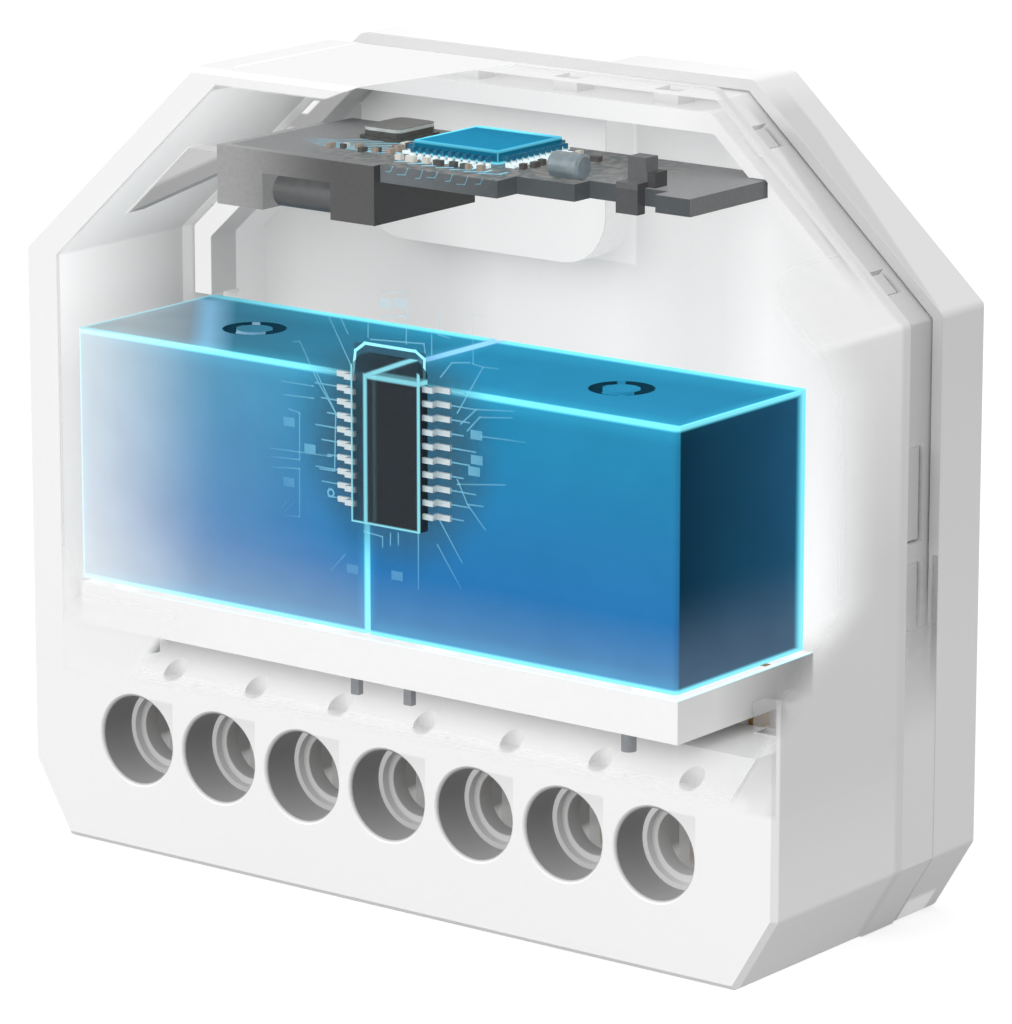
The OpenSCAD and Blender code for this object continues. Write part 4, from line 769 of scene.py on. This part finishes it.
# Radio board and its carrier: a dark grey board on a dark moulded carrier with two legs, under the roof.
# The connector block at the board's step is moulded in the same dark plastic.
radio_top, radio_front = 33.7, -4.55
for name, top, edge, left, end, end_x, piece in (
        ("grey_solder_mask", "898a8b", "4f5050", "898a8b", "707172", 13.11, "radio_board"),
        ("dark_nylon_carrier", "7d7e7f", "565656", "a2a2a2", "3c3c3c", -2.93, "board_carrier"),
        ("dark_nylon_connector", "626364", "525354", "626364", "444546", 9.96, "board_connector")):
    dark, t, shader, point = begin(name, roughness=0.5)
    x, y, z = add(t, "SeparateXYZ", [point]).node.outputs
    grain = add(t, "TexNoise", {"Vector": point, "Scale": 1 / 0.25, "Detail": 3.0})
    give("Normal", add(t, "Bump", {"Strength": 0.1, "Distance": 0.00001, "Height": grain}))
    # Painted shade: the sides darker than the top and the right end darker still; the sides pale towards the
    # left
    on_top = add(t, "MapRange", [z, radio_top - 0.03, radio_top - 0.01, 0, 1])
    tone = add(t, "Mix", [on_top, edge, top], data_type="RGBA")
    reach = (-3.0, 8.0) if piece == "radio_board" else (-12.2, -5.0)
    tone = add(t, "Mix", [add(t, "MapRange", [x, *reach, 1, 0], **soft), tone, left], data_type="RGBA")
    if piece == "radio_board":
        # Painted shade: its front edge is darker right of the carrier
        edge_shade = add(t, "Mix", [add(t, "MapRange", [x, -3.0, 4.0, 0, 1]), "6c7276", "4e5356"],
                   data_type="RGBA")
        tone = add(t, "Mix", [on_top, edge_shade, tone], data_type="RGBA")
    tone = add(t, "Mix", [add(t, "MapRange", [x, end_x - 0.03, end_x - 0.01, 0, 1]), tone, end],
               data_type="RGBA")
    if piece == "radio_board":
        # Round the processor the board is darker, with bare spots and flux marks
        speck = add(t, "TexNoise", {"Vector": point, "Scale": 1 / 0.45, "Detail": 3.0})
        area = add(t, "VectorMath", [point, (0.5, 0.0, radio_top)], operation="DISTANCE")
        area = add(t, "Math", [add(t, "MapRange", [area, 5.5, 10.0, 0.9, 0]), on_top],
                   operation="MULTIPLY")
        marks = add(t, "Mix", [add(t, "MapRange", [speck, 0.42, 0.6, 0, 1]), "566064", "85837e"],
                    data_type="RGBA")
        tone = add(t, "Mix", [area, tone, marks], data_type="RGBA")
    grained = add(t, "MapRange", [grain, 0.3, 0.7, 0.95, 1.05])
    give("Base Color", add(t, "HueSaturation", {"Value": grained, "Color": tone}))
    give("Specular IOR Level", 0.25)
    wear(piece, dark)


# Processor: square package in blue-lit epoxy, the brightest part of the radio board, with leads on all
# four sides.
cpu_x, cpu_y, cpu_half = -0.75, 0.575, 2.45
cpu_z0, cpu_z1 = 33.82, 34.42
lit_epoxy, t, shader, point = begin("blue_lit_epoxy", roughness=0.3)
x, y, z = add(t, "SeparateXYZ", [point]).node.outputs
off_x = add(t, "Math", [x, cpu_x], operation="SUBTRACT")
off_y = add(t, "Math", [y, cpu_y], operation="SUBTRACT")
along_x = add(t, "Math", [off_x], operation="ABSOLUTE")
along_x = add(t, "Math", [cpu_half, along_x], operation="SUBTRACT")
along_y = add(t, "Math", [off_y], operation="ABSOLUTE")
along_y = add(t, "Math", [cpu_half, along_y], operation="SUBTRACT")
from_top = add(t, "Math", [cpu_z1, z], operation="SUBTRACT")
front_gap = add(t, "Math", [y, cpu_y - cpu_half], operation="SUBTRACT")
back_gap = add(t, "Math", [cpu_y + cpu_half, y], operation="SUBTRACT")
near = add(t, "Math", [along_x, 0.5], operation="MULTIPLY")
for gap, share in ((front_gap, 0.38), (back_gap, 0.2)):
    near = add(t, "Math", [near, add(t, "Math", [gap, share], operation="MULTIPLY")], operation="MINIMUM")
near = add(t, "Math", [near, from_top], operation="MAXIMUM")
foot = add(t, "Math", [z, cpu_z0], operation="SUBTRACT")
upright = add(t, "Math", [along_x, along_y], operation="MAXIMUM")
behind = add(t, "Math", [off_x, off_y], operation="SUBTRACT")
line = add(t, "Math", [add(t, "MapRange", [near, 0.05, 0.13, 1, 0.0], **soft),
                       add(t, "MapRange", [behind, -1.5, 0.5, 1.0, 0.4])], operation="MULTIPLY")
for other, width in ((foot, 0.14), (upright, 0.1)):
    line = add(t, "Math", [line, add(t, "MapRange", [other, 0.04, width, 0.85, 0.0])], operation="MAXIMUM")
give("Emission Color", lin("7fe6f6"))
give("Emission Strength", line)
haze = add(t, "TexNoise", {"Vector": point, "Scale": 1 / 0.8, "Detail": 2.0})
epoxy_tone_and_shade = add(t, "Mix", [haze, "2486ad", "2c8fb6"], data_type="RGBA")
# Painted shade: its sides are darker than its top
side_on = add(t, "MapRange", [from_top, 0.01, 0.03, 0, 1])
epoxy_tone_and_shade = add(t, "Mix", [side_on, epoxy_tone_and_shade, "176a8a"], data_type="RGBA")
give("Base Color", epoxy_tone_and_shade)
give("Specular IOR Level", 0.0)
wear("processor", lit_epoxy)

# Its leads are painted in the package's shade and bright only at their soldered feet, which glow a little
lead_shade_and_glow, t, shader, point = begin("tin_lead_painted_shade_glowing_foot", roughness=0.35, metallic=0.3)
x, y, z = add(t, "SeparateXYZ", [point]).node.outputs
fleck = add(t, "TexNoise", {"Vector": point, "Scale": 1 / 0.1, "Detail": 2.0})
give("Roughness", add(t, "MapRange", [fleck, 0.3, 0.7, 0.28, 0.42]))
at_foot = add(t, "MapRange", [z, cpu_z0 + 0.06, cpu_z0 + 0.16, 1, 0])
give("Base Color", add(t, "Mix", [at_foot, "176a8a", "e2ecee"], data_type="RGBA"))
give("Emission Color", lin("d8f2f6"))
give("Emission Strength", add(t, "Math", [at_foot, 0.3], operation="MULTIPLY"))
wear("processor_leads", lead_shade_and_glow)

# Tracks of the same lit silver fan out from two sides of the processor over the board's top
board_track, t, shader, point = begin("lit_board_track", roughness=0.3)
reach = add(t, "VectorMath", [point, (cpu_x, cpu_y, radio_top)], operation="DISTANCE")
x, y, z = add(t, "SeparateXYZ", [point]).node.outputs
fade = add(t, "Math", [add(t, "MapRange", [reach, 4.0, 9.5, 0.85, 0.0]),
                       add(t, "MapRange", [z, radio_top - 0.1, radio_top, 0.45, 1])], operation="MULTIPLY")
give("Alpha", fade)
give("Base Color", lin("3a8fb0"))
give("Emission Color", lin("8fd4e4"))
give("Emission Strength", 0.9)
n_tracks = 7
k = np.arange(n_tracks)
start = np.column_stack([np.full(n_tracks, cpu_x - 3.3), cpu_y - 2.3 + 0.55 * k])
bend = start - np.column_stack([0.2 + 0.3 * k, np.zeros(n_tracks)])
low = bend - np.column_stack([0.6 + 0.32 * k, 0.6 + 0.32 * k])
lines = list(np.stack([start, bend, low, low - [3.5, 0.0]], 1))
start = np.column_stack([cpu_x - 1.8 + 0.9 * k, np.full(n_tracks, cpu_y - 3.3)])
bend = start - np.column_stack([0.25 + 0.1 * k, np.full(n_tracks, 0.9)])
lines += list(np.stack([start, start - [0.0, 0.5], bend], 1))
strips("board_tracks", lines, 0.16,
       lambda flat: np.column_stack([flat, np.full(len(flat), radio_top + lift)]), board_track)
# Some of them turn down over the board's front edge
step = 0.85 * k
drop = radio_top - 0.06 * (k % 3)
over = np.stack([np.column_stack([step - 2.2, np.full(n_tracks, radio_top - 0.01)]),
                 np.column_stack([step - 2.35, drop - 0.25]),
                 np.column_stack([step - 2.6 - 0.2 * (k % 2), drop - 0.28])], 1)
strips("edge_tracks", list(over), 0.05,
       lambda flat: np.insert(flat, 1, radio_front - lift, axis=1), board_track)


# Small parts of the radio board: drawn steel crystal can, aluminium capacitor can, ferrite rod and fired
# chip parts.
small_parts = (("drawn_steel_can", "84847c", 0.35, 0.4, "crystal_can"),
               ("aluminium_capacitor_can", "7d8a90", 0.35, 0.3, "storage_capacitor"),
               ("sintered_ferrite", "525354", 0.5, 0.0, "choke"),
               ("fired_ceramic", "9c8e80", 0.5, 0.0, "board_passives"))
for name, code, rough, metal, piece in small_parts:
    small, t, shader, point = begin(name, roughness=rough, metallic=metal)
    grain = add(t, "TexNoise", {"Vector": point, "Scale": 1 / 0.5, "Detail": 3.0})
    give("Roughness", add(t, "MapRange", [grain, 0.3, 0.7, rough - 0.06, rough + 0.06]))
    tone = lin(code)
    if piece == "crystal_can":
        # Its lid catches the light along the edge, and its sides are in shade
        can_top = 34.3
        x, y, z = add(t, "SeparateXYZ", [point]).node.outputs
        drop = add(t, "Math", [can_top, z], operation="SUBTRACT")
        tone = add(t, "Mix", [add(t, "MapRange", [drop, 0.02, 0.04, 0, 1]), "7c7c79", "c9cdca"],
                   data_type="RGBA")
        tone = add(t, "Mix", [add(t, "MapRange", [drop, 0.16, 0.2, 0, 1]), tone, "555450"],
                   data_type="RGBA")
    if piece == "board_passives":
        # Chip parts differ: white, tan and near black, one tone to each place of about a millimetre
        cell = add(t, "VectorMath", [point, (1.1, 0.9, 0.0)], operation="MULTIPLY")
        cell = add(t, "VectorMath", [cell], operation="FLOOR")
        pick = add(t, "TexWhiteNoise", {"Vector": cell}, noise_dimensions="3D")
        tone = add(t, "Mix", [add(t, "Math", [pick, 0.72], operation="GREATER_THAN"), tone, "cfccc4"],
                   data_type="RGBA")
        tone = add(t, "Mix", [add(t, "Math", [pick, 0.3], operation="LESS_THAN"), tone, "4c4a48"],
                   data_type="RGBA")
    grained = add(t, "MapRange", [grain, 0.3, 0.7, 0.85, 1.12])
    give("Base Color", add(t, "HueSaturation", {"Value": grained, "Color": tone}))
    wear(piece, small)


# The relays, boards and chips in the clear case don't take the studio light from the walls behind them
inner = ("relay", "contact_arm", "fixed_contact", "flex", "metering", "radio", "board", "choke", "processor",
         "crystal", "storage")
for name, piece in nodes.items():
    if name.startswith(inner):
        piece.visible_shadow = False
        piece.visible_diffuse = False


# Studio: a pale floor under the module, a large soft light from the front left and above, and an even
# white surround.
floor_half, floor_z = 4.0, -0.00004


def seen_rays():
    """1 on rays that the camera sees, straight, by a gloss or through a clear wall, and 0 on all others."""
    path = t.nodes.new("ShaderNodeLightPath")
    rays = [path.outputs[f"Is {ray} Ray"] for ray in ("Camera", "Glossy", "Transmission")]
    return add(t, "Math", rays, operation="MAXIMUM")


mesh = bpy.data.meshes.new("floor")
corners = [(-1, -1), (1, -1), (1, 1), (-1, 1)]
mesh.from_pydata([(a * floor_half, b * floor_half, floor_z) for a, b in corners], [], [(0, 1, 2, 3)])
floor = bpy.data.objects.new("floor", mesh)
bpy.context.collection.objects.link(floor)
paper, t, shader, point = begin("white_paper_floor", roughness=0.9)
give("Base Color", (0.3, 0.3, 0.3, 1))
give("Specular IOR Level", 0.0)
give("Emission Color", (1, 1, 1, 1))
give("Emission Strength", add(t, "Math", [seen_rays(), 0.75], operation="MULTIPLY"))
mesh.materials.append(paper)

sun = bpy.data.lights.new("soft_key", "SUN")
sun.energy = 1.3
sun.angle = 1.2
lamp = bpy.data.objects.new("soft_key", sun)
toward = np.array([-0.4, -0.88, 0.25])
toward = toward / np.linalg.norm(toward)
across = np.cross([0, 0, 1], toward)
across = across / np.linalg.norm(across)
lamp.matrix_world = Matrix(np.column_stack([across, np.cross(toward, across), toward]).tolist()).to_4x4()
bpy.context.collection.objects.link(lamp)

world = bpy.data.worlds.new("white_surround")
world.use_nodes = True
t = world.node_tree
t.nodes.clear()
strength = add(t, "MapRange", [seen_rays(), 0, 1, 1.05, 1.0])
add(t, "OutputWorld", [add(t, "Background", {"Color": (1, 1, 1, 1), "Strength": strength})])
bpy.context.scene.world = world

# Camera of the photograph, from one fit of the case's corners, the wire holes, the relays and the boards
azimuth, elevation = np.radians(37.49165), np.radians(13.68441)
back = np.array([np.sin(azimuth) * np.cos(elevation), -np.cos(azimuth) * np.cos(elevation),
                 np.sin(elevation)])
right = np.array([np.cos(azimuth), np.sin(azimuth), 0.0])
cam = bpy.data.cameras.new("camera")
cam.lens = 203.1865
cam.sensor_width = 36.0
cam.clip_start, cam.clip_end = 0.01, 50.0
camera = bpy.data.objects.new("camera", cam)
place = Matrix(np.column_stack([right, np.cross(back, right), back]).tolist()).to_4x4()
place.translation = (0.157639, -0.204575, 0.080049)
camera.matrix_world = place
bpy.context.collection.objects.link(camera)
bpy.context.scene.camera = camera
bpy.context.scene.view_settings.view_transform = "Standard"
